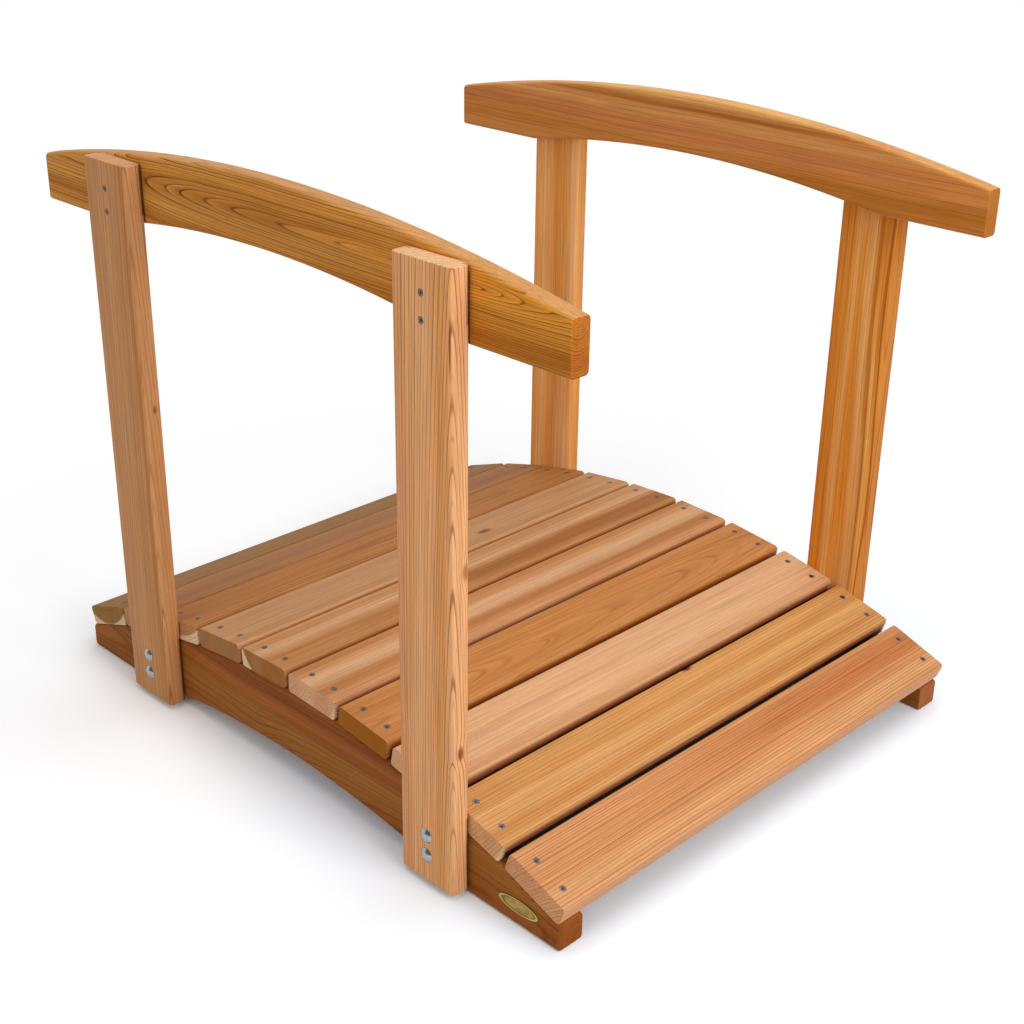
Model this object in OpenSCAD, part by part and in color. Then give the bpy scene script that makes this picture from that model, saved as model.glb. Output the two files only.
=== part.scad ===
// Small arched garden bridge in cedar: two bowed stringers carry a deck of planks,
// four posts are bolted to the stringers, and a bowed handrail runs along each side.
// Millimetres. X runs along the span, Y across it, Z up, with the origin on the ground at the centre.

/* [Overall] */
// Length of the stringers along the span
bridge_l = 928; // [800:2:1160]
// Width of the deck, over the outer faces of the stringers
deck_w = 750; // [500:5:950]

/* [Stringers] */
// Thickness of each stringer
stringer_t = 38; // [30:1:50]
// Height of a stringer at its square-cut ends
stringer_end_h = 34; // [26:1:60]
// Height of a stringer's top at the middle of the span
stringer_crest_h = 124; // [110:1:150]
// Length of the arch cut in a stringer's underside
stringer_arch_l = 596; // [480:2:740]
// Height of that arch at the middle of the span
stringer_arch_rise = 31; // [20:1:45]
// Radius of a stringer's long edges
stringer_round = 5; // [2:0.5:8]

/* [Deck] */
// Width of each plank along the span
plank_w = 89; // [70:1:110]
// Thickness of each plank
plank_t = 27; // [18:1:36]
// Least mean gap between neighbouring planks, which are spread over the stringers
plank_gap = 5; // [3:0.5:12]
// Share of the mean gap by which the first gap is wider and the last one narrower
plank_gap_run = 0.43; // [0:0.01:0.6]
// Distance along the bow from a stringer's end to the first plank
plank_setback = 3.5; // [2:0.5:20]
// Distance along the bow by which the whole deck lies nearer the front end
deck_shift = 2; // [0:0.5:2]
// Radius of a plank's long edges
plank_round = 5; // [2:0.5:8]

/* [Posts] */
// Width of each post along the span
post_w = 89; // [70:1:110]
// Thickness of each post
post_t = 25; // [18:1:36]
// Height of the left-hand posts' level tops above the ground
post_top_h = 738; // [500:1:900]
// Height of the posts' lower ends above the ground
post_foot_h = 8; // [2:1:15]
// Height by which the right-hand posts end below the left-hand ones
post_right_drop = 9; // [0:0.5:12]
// Distance between the two posts of one side, centre to centre
post_spacing = 560; // [460:5:680]
// Radius of a post's long edges
post_round = 6; // [2:0.5:8]

/* [Rails] */
// Length of each handrail
rail_l = 914; // [760:2:1100]
// Thickness of each handrail
rail_t = 25; // [18:1:36]
// Depth of a handrail's square-cut ends
rail_end_h = 59; // [45:1:80]
// Height that a handrail's top gains from its ends to the middle of the span
rail_bow = 46; // [25:1:60]
// Drop from the left-hand posts' tops to the flat underside of the handrails' ends
rail_drop = 82; // [70:1:100]
// Length of the arch cut in a handrail's underside
rail_arch_l = 610; // [480:2:740]
// Height of that arch at the middle of the span
rail_arch_rise = 26; // [12:1:36]
// Radius of a handrail's long edges
rail_round = 5; // [2:0.5:8]

/* [Fasteners] */
// Diameter of the carriage bolts that hold the posts to the stringers
bolt_d = 8; // [6:0.5:10]
// Diameter of a bolt's domed head
bolt_head_d = 18.5; // [15:0.5:24]
// Height of a bolt's domed head
bolt_head_h = 4.5; // [3:0.25:6]
// Height of the lower bolt above the ground
bolt_low_h = 43; // [30:0.5:46]
// Distance between the two bolts of a post
bolt_spacing = 26.5; // [25:0.5:32]
// Clearance all round a bolt's shank in its holes
bolt_clear = 0.25; // [0.1:0.05:0.6]
// Diameter of a countersunk screw head
screw_head_d = 8.5; // [6:0.5:10]
// Distance between the two screws across a plank's end
deck_screw_spread = 43; // [30:1:56]
// Distance from the left-hand posts' tops down to the upper rail screws
rail_screw_drop = 33; // [26:1:36]
// Distance between the two rail screws of a post
rail_screw_spacing = 28; // [20:1:32]

/* [Plate] */
// Length of the blank oval plate on the left stringer
plate_l = 62; // [40:1:72]
// Height of the plate
plate_w = 18.5; // [16:0.5:27]
// Thickness of the plate
plate_t = 1.2; // [0.8:0.1:2]
// Width of the raised rim round the plate
plate_rim = 1.6; // [1:0.1:3]
// Distance from the stringer's front end to the plate's centre
plate_inset = 61; // [50:1:90]
// Height of the plate's centre above the ground
plate_h = 27; // [22:0.5:30]

/* [Hidden] */
// Facets of a full turn in the preview
$fn = 96;
// Overlap that makes a cut run clean through
cut = 1;
// Names for the two ends and the two sides
FRONT = 1;
BACK = -1;
LEFT = -1;
RIGHT = 1;
// Outer face of the stringers, which is also the inner face of the posts
side_y = deck_w / 2;
// Radius of the arc with half-chord c and rise h
function arc_radius(c, h) = (c * c + h * h) / (2 * h);
// Arcs of the stringers and the handrails
stringer_top_r = arc_radius(bridge_l / 2, stringer_crest_h - stringer_end_h);
stringer_arch_r = arc_radius(stringer_arch_l / 2, stringer_arch_rise);
rail_top_r = arc_radius(rail_l / 2, rail_bow);
rail_arch_r = arc_radius(rail_arch_l / 2, rail_arch_rise);
// Length of the stringers' top arc that the deck covers
deck_arc = stringer_top_r * asin(bridge_l / 2 / stringer_top_r) * PI / 90 - 2 * plank_setback;
// Number of planks that fit, and the distance between their centres along the arc
plank_count = floor((deck_arc + plank_gap) / (plank_w + plank_gap));
plank_pitch = (deck_arc - plank_w) / (plank_count - 1);
// Half the step in width from one gap to the next
gap_step = plank_gap_run * (plank_pitch - plank_w) / (plank_count - 2);
// Heights of a handrail's underside at the ends and of its top at the middle
rail_bottom_h = post_top_h - rail_drop;
rail_crest_h = rail_bottom_h + rail_end_h + rail_bow;
// Countersink under a screw head, and how far the head lies below the surface
countersink_h = screw_head_d / 2;
screw_sink = 0.6;
// Width of the countersink's point
screw_tip_d = 0.4;
// Washer and nut on the stringers' inner faces, sized from the bolt
washer_d = 2.4 * bolt_d;
washer_t = 0.2 * bolt_d;
nut_d = 1.83 * bolt_d;
nut_t = 0.82 * bolt_d;
bolt_tail = 0.4 * bolt_d;
// Depth of the plate's field below its rim
plate_field = plate_t / 3;

// Names of the planks, counted from the front end
PLANKS = [for (n = [1 : plank_count]) str("deck_plank_", n < 10 ? "0" : "", n)];

// Rectangle of w by h with corners of radius r, centred
module rounded_rectangle(w, h, r) {
    square([w - 2 * r, h], center = true);
    square([w, h - 2 * r], center = true);
    for (sx = [-1, 1], sy = [-1, 1])
        translate([sx * (w / 2 - r), sy * (h / 2 - r)])
            circle(r);
}

// Round disc about Y, centred on the origin, of thickness t with its two rims rounded by r
module rounded_disc(radius, t, r) {
    rotate([90, 0, 0])
        rotate_extrude() {
            translate([0, -t / 2])
                square([radius - r, t]);
            translate([0, r - t / 2])
                square([radius, t - 2 * r]);
            for (s = [-1, 1])
                translate([radius - r, s * (t / 2 - r)])
                    circle(r);
        }
}

// Cutter for an arch through a board of thickness t, flared to leave its edges rounded by r
module arch_cutter(radius, t, r) {
    rotate([90, 0, 0])
        rotate_extrude() {
            translate([0, -t / 2 - cut])
                square([radius, t + 2 * cut]);
            for (s = [-1, 1])
                mirror([0, s < 0 ? 1 : 0])
                    translate([radius - cut, t / 2 - r])
                        difference() {
                            square([r + cut, r + cut]);
                            translate([r + cut, 0])
                                circle(r);
                        }
        }
}

// Bowed board along X, centred on Y = 0 with its flat underside at Z = 0
module bowed_board(l, t, crest_h, top_r, arch_r, arch_rise, r) {
    difference() {
        intersection() {
            translate([-l / 2, 0, crest_h])
                rotate([90, 0, 90])
                    linear_extrude(l)
                        rounded_rectangle(t, 2 * crest_h, r);
            translate([0, 0, crest_h - top_r])
                rounded_disc(top_r, t, r);
        }
        translate([0, 0, arch_rise - arch_r])
            arch_cutter(arch_r, t, r);
    }
}

// Countersunk hole for a screw, sunk along -Z from the surface at Z = 0
module countersink() {
    translate([0, 0, -countersink_h - screw_sink])
        cylinder(h = countersink_h, d1 = screw_tip_d, d2 = screw_head_d);
    translate([0, 0, -screw_sink])
        cylinder(h = screw_sink + cut, d = screw_head_d);
}

// Places its children at the two bolts of the post at one end and side, with +Z pointing outwards
module at_bolts(end, side) {
    for (z = [bolt_low_h, bolt_low_h + bolt_spacing])
        translate([end * post_spacing / 2, side * side_y, z])
            rotate([-side * 90, 0, 0])
                children();
}

// Clearance hole of a bolt, through the post and the stringer
module bolt_hole() {
    translate([0, 0, -stringer_t - cut])
        cylinder(h = stringer_t + post_t + 2 * cut, d = bolt_d + 2 * bolt_clear);
}

// Carriage bolt with its domed head on the post, and its washer and nut on the stringer
module carriage_bolt() {
    dome_r = arc_radius(bolt_head_d / 2, bolt_head_h);
    translate([0, 0, post_t])
        rotate_extrude()
            intersection() {
                translate([0, bolt_head_h - dome_r])
                    circle(dome_r);
                square([bolt_head_d, bolt_head_h]);
            }
    translate([0, 0, -stringer_t - washer_t - nut_t - bolt_tail])
        cylinder(h = bolt_tail + nut_t + washer_t + stringer_t + post_t, d = bolt_d);
    translate([0, 0, -stringer_t - washer_t])
        cylinder(h = washer_t, d = washer_d);
    translate([0, 0, -stringer_t - washer_t - nut_t])
        cylinder(h = nut_t, d = nut_d, $fn = 6);
}

module stringer(side) {
    color("saddlebrown")
        difference() {
            translate([0, side * (side_y - stringer_t / 2), 0])
                bowed_board(bridge_l, stringer_t, stringer_crest_h, stringer_top_r,
                            stringer_arch_r, stringer_arch_rise, stringer_round);
            for (end = [BACK, FRONT])
                at_bolts(end, side)
                    bolt_hole();
        }
}

// Plank number n, lying tangent to the stringers' top arc
module deck_plank(n) {
    along = ((plank_count + 1) / 2 - n) * plank_pitch + deck_shift
            - (n - 1) * (plank_count - n) * gap_step;
    angle = along / stringer_top_r * 180 / PI;
    color("sandybrown")
        translate([0, 0, stringer_crest_h - stringer_top_r])
            rotate([0, angle, 0])
                translate([0, 0, stringer_top_r + plank_t / 2])
                    difference() {
                        rotate([90, 0, 0])
                            linear_extrude(deck_w, center = true)
                                rounded_rectangle(plank_w, plank_t, plank_round);
                        for (side = [LEFT, RIGHT], s = [-1, 1])
                            translate([s * deck_screw_spread / 2,
                                       side * (side_y - stringer_t / 2), plank_t / 2])
                                countersink();
                    }
}

module post(end, side) {
    top_h = post_top_h - (side == RIGHT ? post_right_drop : 0);
    color("peru")
        difference() {
            translate([end * post_spacing / 2, side * (side_y + post_t / 2), post_foot_h])
                linear_extrude(top_h - post_foot_h)
                    rounded_rectangle(post_w, post_t, post_round);
            at_bolts(end, side)
                bolt_hole();
            for (i = [0, 1])
                translate([end * post_spacing / 2, side * (side_y + post_t),
                           post_top_h - rail_screw_drop - i * rail_screw_spacing])
                    rotate([-side * 90, 0, 0])
                        countersink();
        }
}

module rail(side) {
    color("burlywood")
        translate([0, side * (side_y - rail_t / 2), rail_bottom_h])
            bowed_board(rail_l, rail_t, rail_crest_h - rail_bottom_h, rail_top_r,
                        rail_arch_r, rail_arch_rise, rail_round);
}

module bolts(end, side) {
    color("silver")
        at_bolts(end, side)
            carriage_bolt();
}

// Ellipse of length l and height w
module oval(l, w) {
    polygon([for (i = [0 : $fn - 1]) [l / 2 * cos(360 * i / $fn), w / 2 * sin(360 * i / $fn)]]);
}

module oval_plate() {
    color("goldenrod")
        translate([bridge_l / 2 - plate_inset, -side_y, plate_h])
            rotate([90, 0, 0])
                difference() {
                    linear_extrude(plate_t)
                        oval(plate_l, plate_w);
                    translate([0, 0, plate_t - plate_field])
                        linear_extrude(plate_field + cut)
                            oval(plate_l - 2 * plate_rim, plate_w - 2 * plate_rim);
                }
}

stringer(LEFT);  // stringer_left
stringer(RIGHT);  // stringer_right
for (n = [1 : plank_count])
    deck_plank(n);
post(FRONT, LEFT);  // post_front_left
post(FRONT, RIGHT);  // post_front_right
post(BACK, LEFT);  // post_back_left
post(BACK, RIGHT);  // post_back_right
rail(LEFT);  // rail_left
rail(RIGHT);  // rail_right
bolts(FRONT, LEFT);  // bolts_front_left
bolts(FRONT, RIGHT);  // bolts_front_right
bolts(BACK, LEFT);  // bolts_back_left
bolts(BACK, RIGHT);  // bolts_back_right
oval_plate();
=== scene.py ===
"""Looks of the moon bridge: cedar boards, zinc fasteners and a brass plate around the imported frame.

Sizes are in millimetres, as in the CAD part, and every mesh is written in metres in the CAD frame.
"""
import logging
import math
from collections.abc import Sequence
from dataclasses import dataclass, field
from enum import Enum
from typing import Any

import bmesh
import bpy
from mathutils import Matrix, Vector


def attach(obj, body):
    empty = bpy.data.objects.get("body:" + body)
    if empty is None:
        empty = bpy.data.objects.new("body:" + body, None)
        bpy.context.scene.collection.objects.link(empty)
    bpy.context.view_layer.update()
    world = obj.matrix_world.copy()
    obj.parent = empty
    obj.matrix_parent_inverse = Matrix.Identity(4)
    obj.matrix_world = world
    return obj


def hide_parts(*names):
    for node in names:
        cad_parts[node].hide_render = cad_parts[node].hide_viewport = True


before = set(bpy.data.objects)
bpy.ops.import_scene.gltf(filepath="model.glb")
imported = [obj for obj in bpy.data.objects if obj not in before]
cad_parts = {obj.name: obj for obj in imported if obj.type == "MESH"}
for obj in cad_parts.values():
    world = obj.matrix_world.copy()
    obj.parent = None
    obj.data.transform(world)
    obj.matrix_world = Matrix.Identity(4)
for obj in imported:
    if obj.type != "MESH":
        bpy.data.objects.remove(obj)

LOG = logging.getLogger("moon_bridge")
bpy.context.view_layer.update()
MM = 0.001
BODY = "root"
SMOOTH_ANGLE = math.radians(38.0)
WHITE = "#ffffff"

Point2 = tuple[float, float]
Point3 = tuple[float, float, float]


class Side(Enum):
    """A side of the bridge, valued by the sign of its Y."""

    LEFT = -1
    RIGHT = 1

    @property
    def word(self) -> str:
        """Give the side's name as it stands in the CAD nodes."""
        return self.name.lower()


class End(Enum):
    """An end of the bridge, valued by the sign of its X."""

    BACK = -1
    FRONT = 1

    @property
    def word(self) -> str:
        """Give the end's name as it stands in the CAD nodes."""
        return self.name.lower()


class Slot(Enum):
    """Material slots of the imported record."""

    STRINGER = "stringer_cedar"
    DECK = "deck_cedar"
    POST = "post_cedar"
    RAIL = "rail_cedar"
    ZINC = "zinc_steel"
    BRASS = "plate_brass"


def linear(code: str) -> tuple[float, float, float, float]:
    """Turn an sRGB hex colour into linear RGBA.

    Args:
        code: The colour as "#rrggbb".

    Returns:
        Red, green, blue and alpha for a shader socket.
    """
    # The curve of the sRGB standard, with its own numbers
    parts = [int(code[i:i + 2], 16) / 255.0 for i in (1, 3, 5)]
    lin = [c / 12.92 if c <= 0.04045 else ((c + 0.055) / 1.055) ** 2.4 for c in parts]
    return lin[0], lin[1], lin[2], 1.0


def add(tree: bpy.types.NodeTree, kind: str, inputs: dict[Any, Any] | None = None,
        **settings: Any) -> bpy.types.Node:
    """Add a shader node, set its properties, and fill or link its inputs.

    Args:
        tree: The node tree that takes the node.
        kind: The node's type without its "ShaderNode" prefix.
        inputs: Value or source socket for each input, by name or number.
        **settings: The node's own properties.

    Returns:
        The new node.
    """
    node = tree.nodes.new("ShaderNode" + kind)
    for name, value in settings.items():
        setattr(node, name, value)
    for key, value in (inputs or {}).items():
        if isinstance(value, bpy.types.NodeSocket):
            tree.links.new(value, node.inputs[key])
        else:
            node.inputs[key].default_value = value
    return node


def new_tree(name: str) -> tuple[bpy.types.Material, bpy.types.NodeTree]:
    """Make an empty node material.

    Args:
        name: The material's name.

    Returns:
        The material and its node tree.
    """
    material = bpy.data.materials.new(name)
    material.use_nodes = True
    material.node_tree.nodes.clear()
    return material, material.node_tree


@dataclass(frozen=True)
class Tone:
    """Colours of one board of cedar: earlywood, a warmer zone, a paler zone and the latewood lines."""

    early: str
    warm: str
    pale: str
    late: str


class Cedar(Enum):
    """Colours that cedar heartwood takes from board to board."""

    ROSE = Tone("#da9c68", "#c67a44", "#e4b27c", "#9a4a1c")
    GOLD = Tone("#daa062", "#c88644", "#e2ad74", "#934c18")
    BLUSH = Tone("#e0ad7f", "#d0966a", "#e8b98b", "#b0703f")
    COPPER = Tone("#ca884d", "#b7743e", "#d99a5f", "#964e20")
    TAN = Tone("#c98e5a", "#ab6c38", "#dfaa76", "#965228")
    CHESTNUT = Tone("#c38954", "#9b5e2d", "#ddaa79", "#8c4c22")
    FAWN = Tone("#c79467", "#b07d50", "#d4a375", "#92562e")
    UMBER = Tone("#b67a42", "#9d5d26", "#c4884c", "#7c3c12")
    DUSK = Tone("#aa7446", "#8b552e", "#be8556", "#7b411d")
    OAT = Tone("#9f713a", "#8a5c2c", "#b08246", "#764218")
    HONEY = Tone("#f2b279", "#e59854", "#f6be8c", "#86390a")
    SAND = Tone("#d09764", "#bb7a44", "#dba676", "#8f4a1c")
    AMBER = Tone("#e29036", "#d0791d", "#f3b96b", "#aa5614")
    MAIZE = Tone("#f4ac5e", "#e2903e", "#fbd09a", "#b66626")
    CARAMEL = Tone("#e09a44", "#a8621a", "#e8ac5c", "#6a2e08")
    GINGER = Tone("#cd8542", "#b86e2d", "#e3ab65", "#954a18")
    RUSSET = Tone("#a46026", "#8c4a1a", "#b87a34", "#4e1e06")


@dataclass(frozen=True)
class Streak:
    """A lengthwise band of another colour in a board, in millimetres across and along it.

    It reaches half to each side of at, leans by lean for each millimetre of length, and runs from since
    to until, fading within fade of each. ragged is how far its edges stray, as a share of half.
    """

    at: float
    half: float
    colour: str
    strength: float = 0.6
    lean: float = 0.0
    since: float = -2000.0
    until: float = 2000.0
    fade: float = 80.0
    ragged: float = 1.0


@dataclass(frozen=True)
class Knot:
    """A small knot, in millimetres. It goes through a board's faces, or through its edges."""

    along: float
    aside: float
    core: float
    colour: str = "#5a2f18"
    through_edges: bool = False


@dataclass(frozen=True)
class Grain:
    """How a board was sawn from its log, in millimetres in the board's own frame.

    pith is where the middle of the log passes, across and through the board, and ring how far apart the
    rings are. lean is how far the pith shifts for each millimetre of length, and bow how it curves away
    through the board on both sides of crown, skew times as fast beyond it, and no further than reach from
    it. taper changes the number of rings to a millimetre along the board, counted in from the radius
    anchor, and flat below 1 stretches the rings across it. wander is how far the trunk sways in a wave.

    line, zone, drift and fine are the strengths of the latewood lines, the warmer zones, the paler streaks
    and the thin lines between the rings' own. grade is how dark a ring gets before its line, and edge_line
    what is left of the lines on the long edges. Sapwood starts at the radius sap, if it isn't 0. cut and
    edge_light_share are how much the sawn ends and the long edges take their own colours, sawn and rim. rim
    is painted light and shade on the long edges: a painted highlight where it is paler than the faces, and
    painted shade where it is darker.
    """

    pith: Point2
    seed: float
    ring: float = 4.0
    lean: Point2 = (0.0, 0.0)
    bow: float = 0.0
    crown: float = 0.0
    skew: float = 1.0
    taper: float = 0.0
    anchor: float = 0.0
    wander: float = 6.0
    wave: float = 330.0
    line: float = 0.75
    zone: float = 0.55
    drift: float = 0.45
    sap: float = 0.0
    fine: float = 0.4
    grade: float = 0.2
    edge_line: float = 1.0
    cut: float = 0.45
    sawn: str = "#e2b084"
    # Colour of the painted light and shade on the long edges
    rim: str = "#e0b07c"
    edge_light_share: float = 0.0
    flat: float = 1.0
    reach: float = 5000.0
    streaks: tuple[Streak, ...] = ()
    knots: tuple[Knot, ...] = ()


@dataclass(frozen=True)
class Soil:
    """A box of painted shade over a crevice, a gap or a seam, in the board's own frame, in millimetres."""

    centre: Point3
    half: Point3
    soft: float = 6.0
    depth: float = 0.85
    # Near-black colour of the painted shade in crevices and seams
    colour: str = "#24120a"


@dataclass(frozen=True)
class CedarFinish:
    """Western red cedar, sawn, planed and sanded under a thin clear oil.

    To the eye it is a warm wood of thin dark latewood lines on broad pale earlywood, with fine fibres
    along the grain, colour that drifts in long streaks, speckled dull end grain and a satin shine.
    """

    name: str
    tone: Tone
    grain: Grain
    # Boxes of painted shade in the crevices, gaps and seams about the board
    soil: tuple[Soil, ...] = ()

    # Cedar is a soft open wood: oil takes it to a low satin, and end grain stays dull
    SATIN = 0.46
    DULL = 0.7
    IOR = 1.5
    SHINE = 0.06
    FIBRE_ROUGH = 0.16
    # Depth of the relief, its strength, and the height of a latewood line against a fibre's
    RELIEF = 0.2 * MM
    RELIEF_SHARE = 0.3
    LINE_RELIEF = 0.35
    # A face becomes an end or a long edge as its normal turns this far
    TURNED = (0.55, 0.9)
    # Octaves of a soft noise and of a fine one, and the middle of a noise's range
    SOFT = 1.0
    FINE = 2.0
    MIDDLE = 0.5
    # How far a seed of 1 moves the patterns, the sway and the rings
    NOISE_SHIFT = (7.3, 3.1, 5.7)
    SWAY_SHIFT = (1.7, 4.3, 2.9)
    RING_SHIFT = 13.7
    # Fibres are under 0.1 mm wide; they are drawn 1.6 mm wide and 80 mm long so that they show
    FIBRE_L = 80.0
    FIBRE_W = 1.6
    FIBRE_LIGHT = (0.84, 1.16)
    # Bundles of fibres, 5 mm wide
    BUNDLE_L = 260.0
    BUNDLE_W = 5.0
    BUNDLE_LIGHT = (0.92, 1.08)
    # The part of the noise that fibres and bundles use
    FIBRE_SPAN = (0.25, 0.75)
    # Resin flecks, 0.7 mm wide and 9 mm long
    FLECK_L = 9.0
    FLECK_W = 0.7
    FLECK_SPAN = (0.64, 0.76)
    FLECK_SHARE = 0.3
    # Long colour streaks, about 28 mm wide
    STREAK_L = 900.0
    STREAK_W = 28.0
    STREAK_SPAN = (0.45, 0.72)
    # The trunk sways over this width, and each ring has a small wobble of its own
    SWAY_W = 120.0
    WOBBLE_L = 90.0
    WOBBLE_W = 16.0
    WOBBLE = 1.2
    # Good and bad years: over about four rings a ring strays from even by up to this many
    UNEVEN = 2.2
    UNEVEN_SCALE = 0.23
    # Latewood starts and is full this far into a ring, and the faintest line has half the full strength
    LATE_FROM = 0.68
    LATE_FULL = 0.9
    FAINTEST = 0.5
    # A line of latewood comes and goes over about 130 mm, and is fainter on a sawn end
    FADE_L = 130.0
    FADE_W = 7.0
    FADE_SPAN = (0.3, 0.6)
    FADED = 0.65
    END_LINE = 0.9
    # Thin lines between the rings' own, this many to a ring, with a quarter of them left out
    THIN = 2.63
    THIN_HALF = 0.5
    THIN_RISE = (0.25, 0.48)
    THIN_SKIPPED = 0.25
    # Warmer zones, about six rings wide
    ZONE_SCALE = 0.17
    ZONE_SPAN = (0.38, 0.68)
    # A streak is full over this share of its half, and its edge is as ragged as the bundles of fibres at it
    STREAK_CORE = 0.15
    RAGGED_L = 170.0
    RAGGED_W = 3.5
    # A knot is twice as long as it is wide. How far and how much it bends the rings, and where it turns
    # dark, go by the size of its core
    KNOT_LONG = 0.5
    KNOT_REACH = 3.5
    KNOT_PUSH = 0.8
    KNOT_EDGE = (0.4, 1.4)
    KNOT_SHARE = 0.92
    # Sapwood is pale and starts within one ring
    SAPWOOD = "#f0d2aa"
    SAP_EDGE = (-1.5, 2.5)
    SAP_SHARE = 0.9
    # Open fibre ends, 0.3 mm wide; they are drawn 1.2 mm wide so that they show
    PORE = 1.2
    PORE_SPAN = (0.3, 0.7)
    PORE_LIGHT = (0.82, 1.14)

    def material(self) -> bpy.types.Material:
        """Build the board's material in the board's own frame.

        Returns:
            The material.
        """
        material, tree = new_tree(self.name)
        coords = add(tree, "TexCoord")
        point = add(tree, "VectorMath", {0: coords.outputs["Object"], "Scale": 1.0 / MM},
                    operation="SCALE").outputs[0]
        facing = add(tree, "SeparateXYZ", {0: coords.outputs["Normal"]})
        masks = []
        for socket in facing.outputs[:2]:
            turned = add(tree, "Math", {0: socket}, operation="ABSOLUTE").outputs[0]
            masks.append(add(tree, "MapRange", {"Value": turned, "From Min": self.TURNED[0],
                                                "From Max": self.TURNED[1]},
                             interpolation_type="SMOOTHSTEP").outputs[0])
        end, edge = masks
        swayed = self._sway(tree, point)
        rings, radius = self._rings(tree, point, swayed)
        line, zone = self._lines(tree, point, rings, end, edge)
        fibre = self._noise(tree, point, self.FIBRE_L, self.FIBRE_W, self.FINE)
        colour = self._colour(tree, point, swayed, radius, line, zone, end, edge)
        colour = self._weather(tree, point, colour, fibre, end)
        # Painted shade darkens the crevices, gaps and seams
        colour = self._soiled(tree, point, colour)
        self._shade(tree, colour, fibre, line, end)
        return material

    def _noise(self, tree: bpy.types.NodeTree, point: bpy.types.NodeSocket, length: float,
               width: float, detail: float) -> bpy.types.NodeSocket:
        """Lay a noise stretched along the grain.

        Args:
            tree: The material's node tree.
            point: Place in the board in millimetres.
            length: Size of a feature along the grain in millimetres.
            width: Size of a feature across the grain in millimetres.
            detail: Octaves of the noise.

        Returns:
            The noise, from 0 to 1.
        """
        scaled = self._stretched(tree, point, length, width, self.NOISE_SHIFT)
        return add(tree, "TexNoise", {"Vector": scaled, "Scale": 1.0, "Detail": detail}).outputs[0]

    def _stretched(self, tree: bpy.types.NodeTree, point: bpy.types.NodeSocket, length: float,
                   width: float, shift: Point3) -> bpy.types.NodeSocket:
        """Stretch a place along the grain, and move it by the board's seed.

        Args:
            tree: The material's node tree.
            point: Place in the board in millimetres.
            length: Size along the grain that becomes 1, in millimetres.
            width: Size across the grain that becomes 1, in millimetres.
            shift: How far a seed of 1 moves it.

        Returns:
            The place for a noise whose features are about 1 in size.
        """
        moved = tuple(self.grain.seed * part for part in shift)
        return add(tree, "VectorMath",
                   {0: point, 1: (1.0 / length, 1.0 / width, 1.0 / width), 2: moved},
                   operation="MULTIPLY_ADD").outputs[0]

    def _sway(self, tree: bpy.types.NodeTree, point: bpy.types.NodeSocket) -> bpy.types.NodeSocket:
        """Bend the straight grain as a living trunk does.

        Args:
            tree: The material's node tree.
            point: Place in the board in millimetres.

        Returns:
            The swayed place in millimetres.
        """
        grain = self.grain
        place = point
        for length, width, reach in ((grain.wave, self.SWAY_W, grain.wander),
                                     (self.WOBBLE_L, self.WOBBLE_W, self.WOBBLE)):
            scaled = self._stretched(tree, point, length, width, self.SWAY_SHIFT)
            noise = add(tree, "TexNoise", {"Vector": scaled, "Scale": 1.0, "Detail": self.SOFT}).outputs[1]
            swing = add(tree, "VectorMath", {0: noise, 1: (self.MIDDLE, self.MIDDLE, self.MIDDLE)},
                        operation="SUBTRACT").outputs[0]
            place = add(tree, "VectorMath", {0: swing, 1: (0.0, reach, reach), 2: place},
                        operation="MULTIPLY_ADD").outputs[0]
        return place

    def _rings(self, tree: bpy.types.NodeTree, point: bpy.types.NodeSocket,
               swayed: bpy.types.NodeSocket) -> tuple[bpy.types.NodeSocket, bpy.types.NodeSocket]:
        """Count growth rings out from the pith.

        Args:
            tree: The material's node tree.
            point: Place in the board in millimetres.
            swayed: The same place after the trunk's sway.

        Returns:
            The ring number with its fraction, and the distance from the pith in millimetres.
        """
        grain = self.grain
        axes = add(tree, "SeparateXYZ", {0: swayed})
        along, across, through = axes.outputs
        off = add(tree, "Math", {0: along, 1: grain.crown}, operation="SUBTRACT").outputs[0]
        beyond = add(tree, "Math", {0: off, 1: 0.0}, operation="MAXIMUM").outputs[0]
        off = add(tree, "Math", {0: beyond, 1: grain.skew - 1.0, 2: off},
                  operation="MULTIPLY_ADD").outputs[0]
        off = add(tree, "Math", {0: off}, operation="ABSOLUTE").outputs[0]
        off = add(tree, "Math", {0: off, 1: grain.reach}, operation="MINIMUM").outputs[0]
        curve = add(tree, "Math", {0: off, 1: off}, operation="MULTIPLY").outputs[0]
        through = add(tree, "Math", {0: curve, 1: -grain.bow, 2: through},
                      operation="MULTIPLY_ADD").outputs[0]
        through = add(tree, "Math", {0: along, 1: -grain.lean[1], 2: through},
                      operation="MULTIPLY_ADD").outputs[0]
        across = add(tree, "Math", {0: along, 1: -grain.lean[0], 2: across},
                     operation="MULTIPLY_ADD").outputs[0]
        across = add(tree, "Math", {0: across, 1: grain.flat}, operation="MULTIPLY").outputs[0]
        spot = add(tree, "CombineXYZ", {1: across, 2: through}).outputs[0]
        pith = (0.0, grain.pith[0] * grain.flat, grain.pith[1])
        radius = add(tree, "VectorMath", {0: spot, 1: pith}, operation="DISTANCE").outputs["Value"]
        for knot in grain.knots:
            near = self._near(tree, point, knot)
            push = add(tree, "MapRange", {"Value": near, "From Max": self.KNOT_REACH * knot.core,
                                          "To Min": self.KNOT_PUSH * knot.core, "To Max": 0.0},
                       interpolation_type="SMOOTHSTEP").outputs[0]
            radius = add(tree, "Math", {0: radius, 1: push}, operation="ADD").outputs[0]
        density = add(tree, "Math", {0: along, 1: grain.taper, 2: 1.0 / grain.ring},
                      operation="MULTIPLY_ADD").outputs[0]
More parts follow.
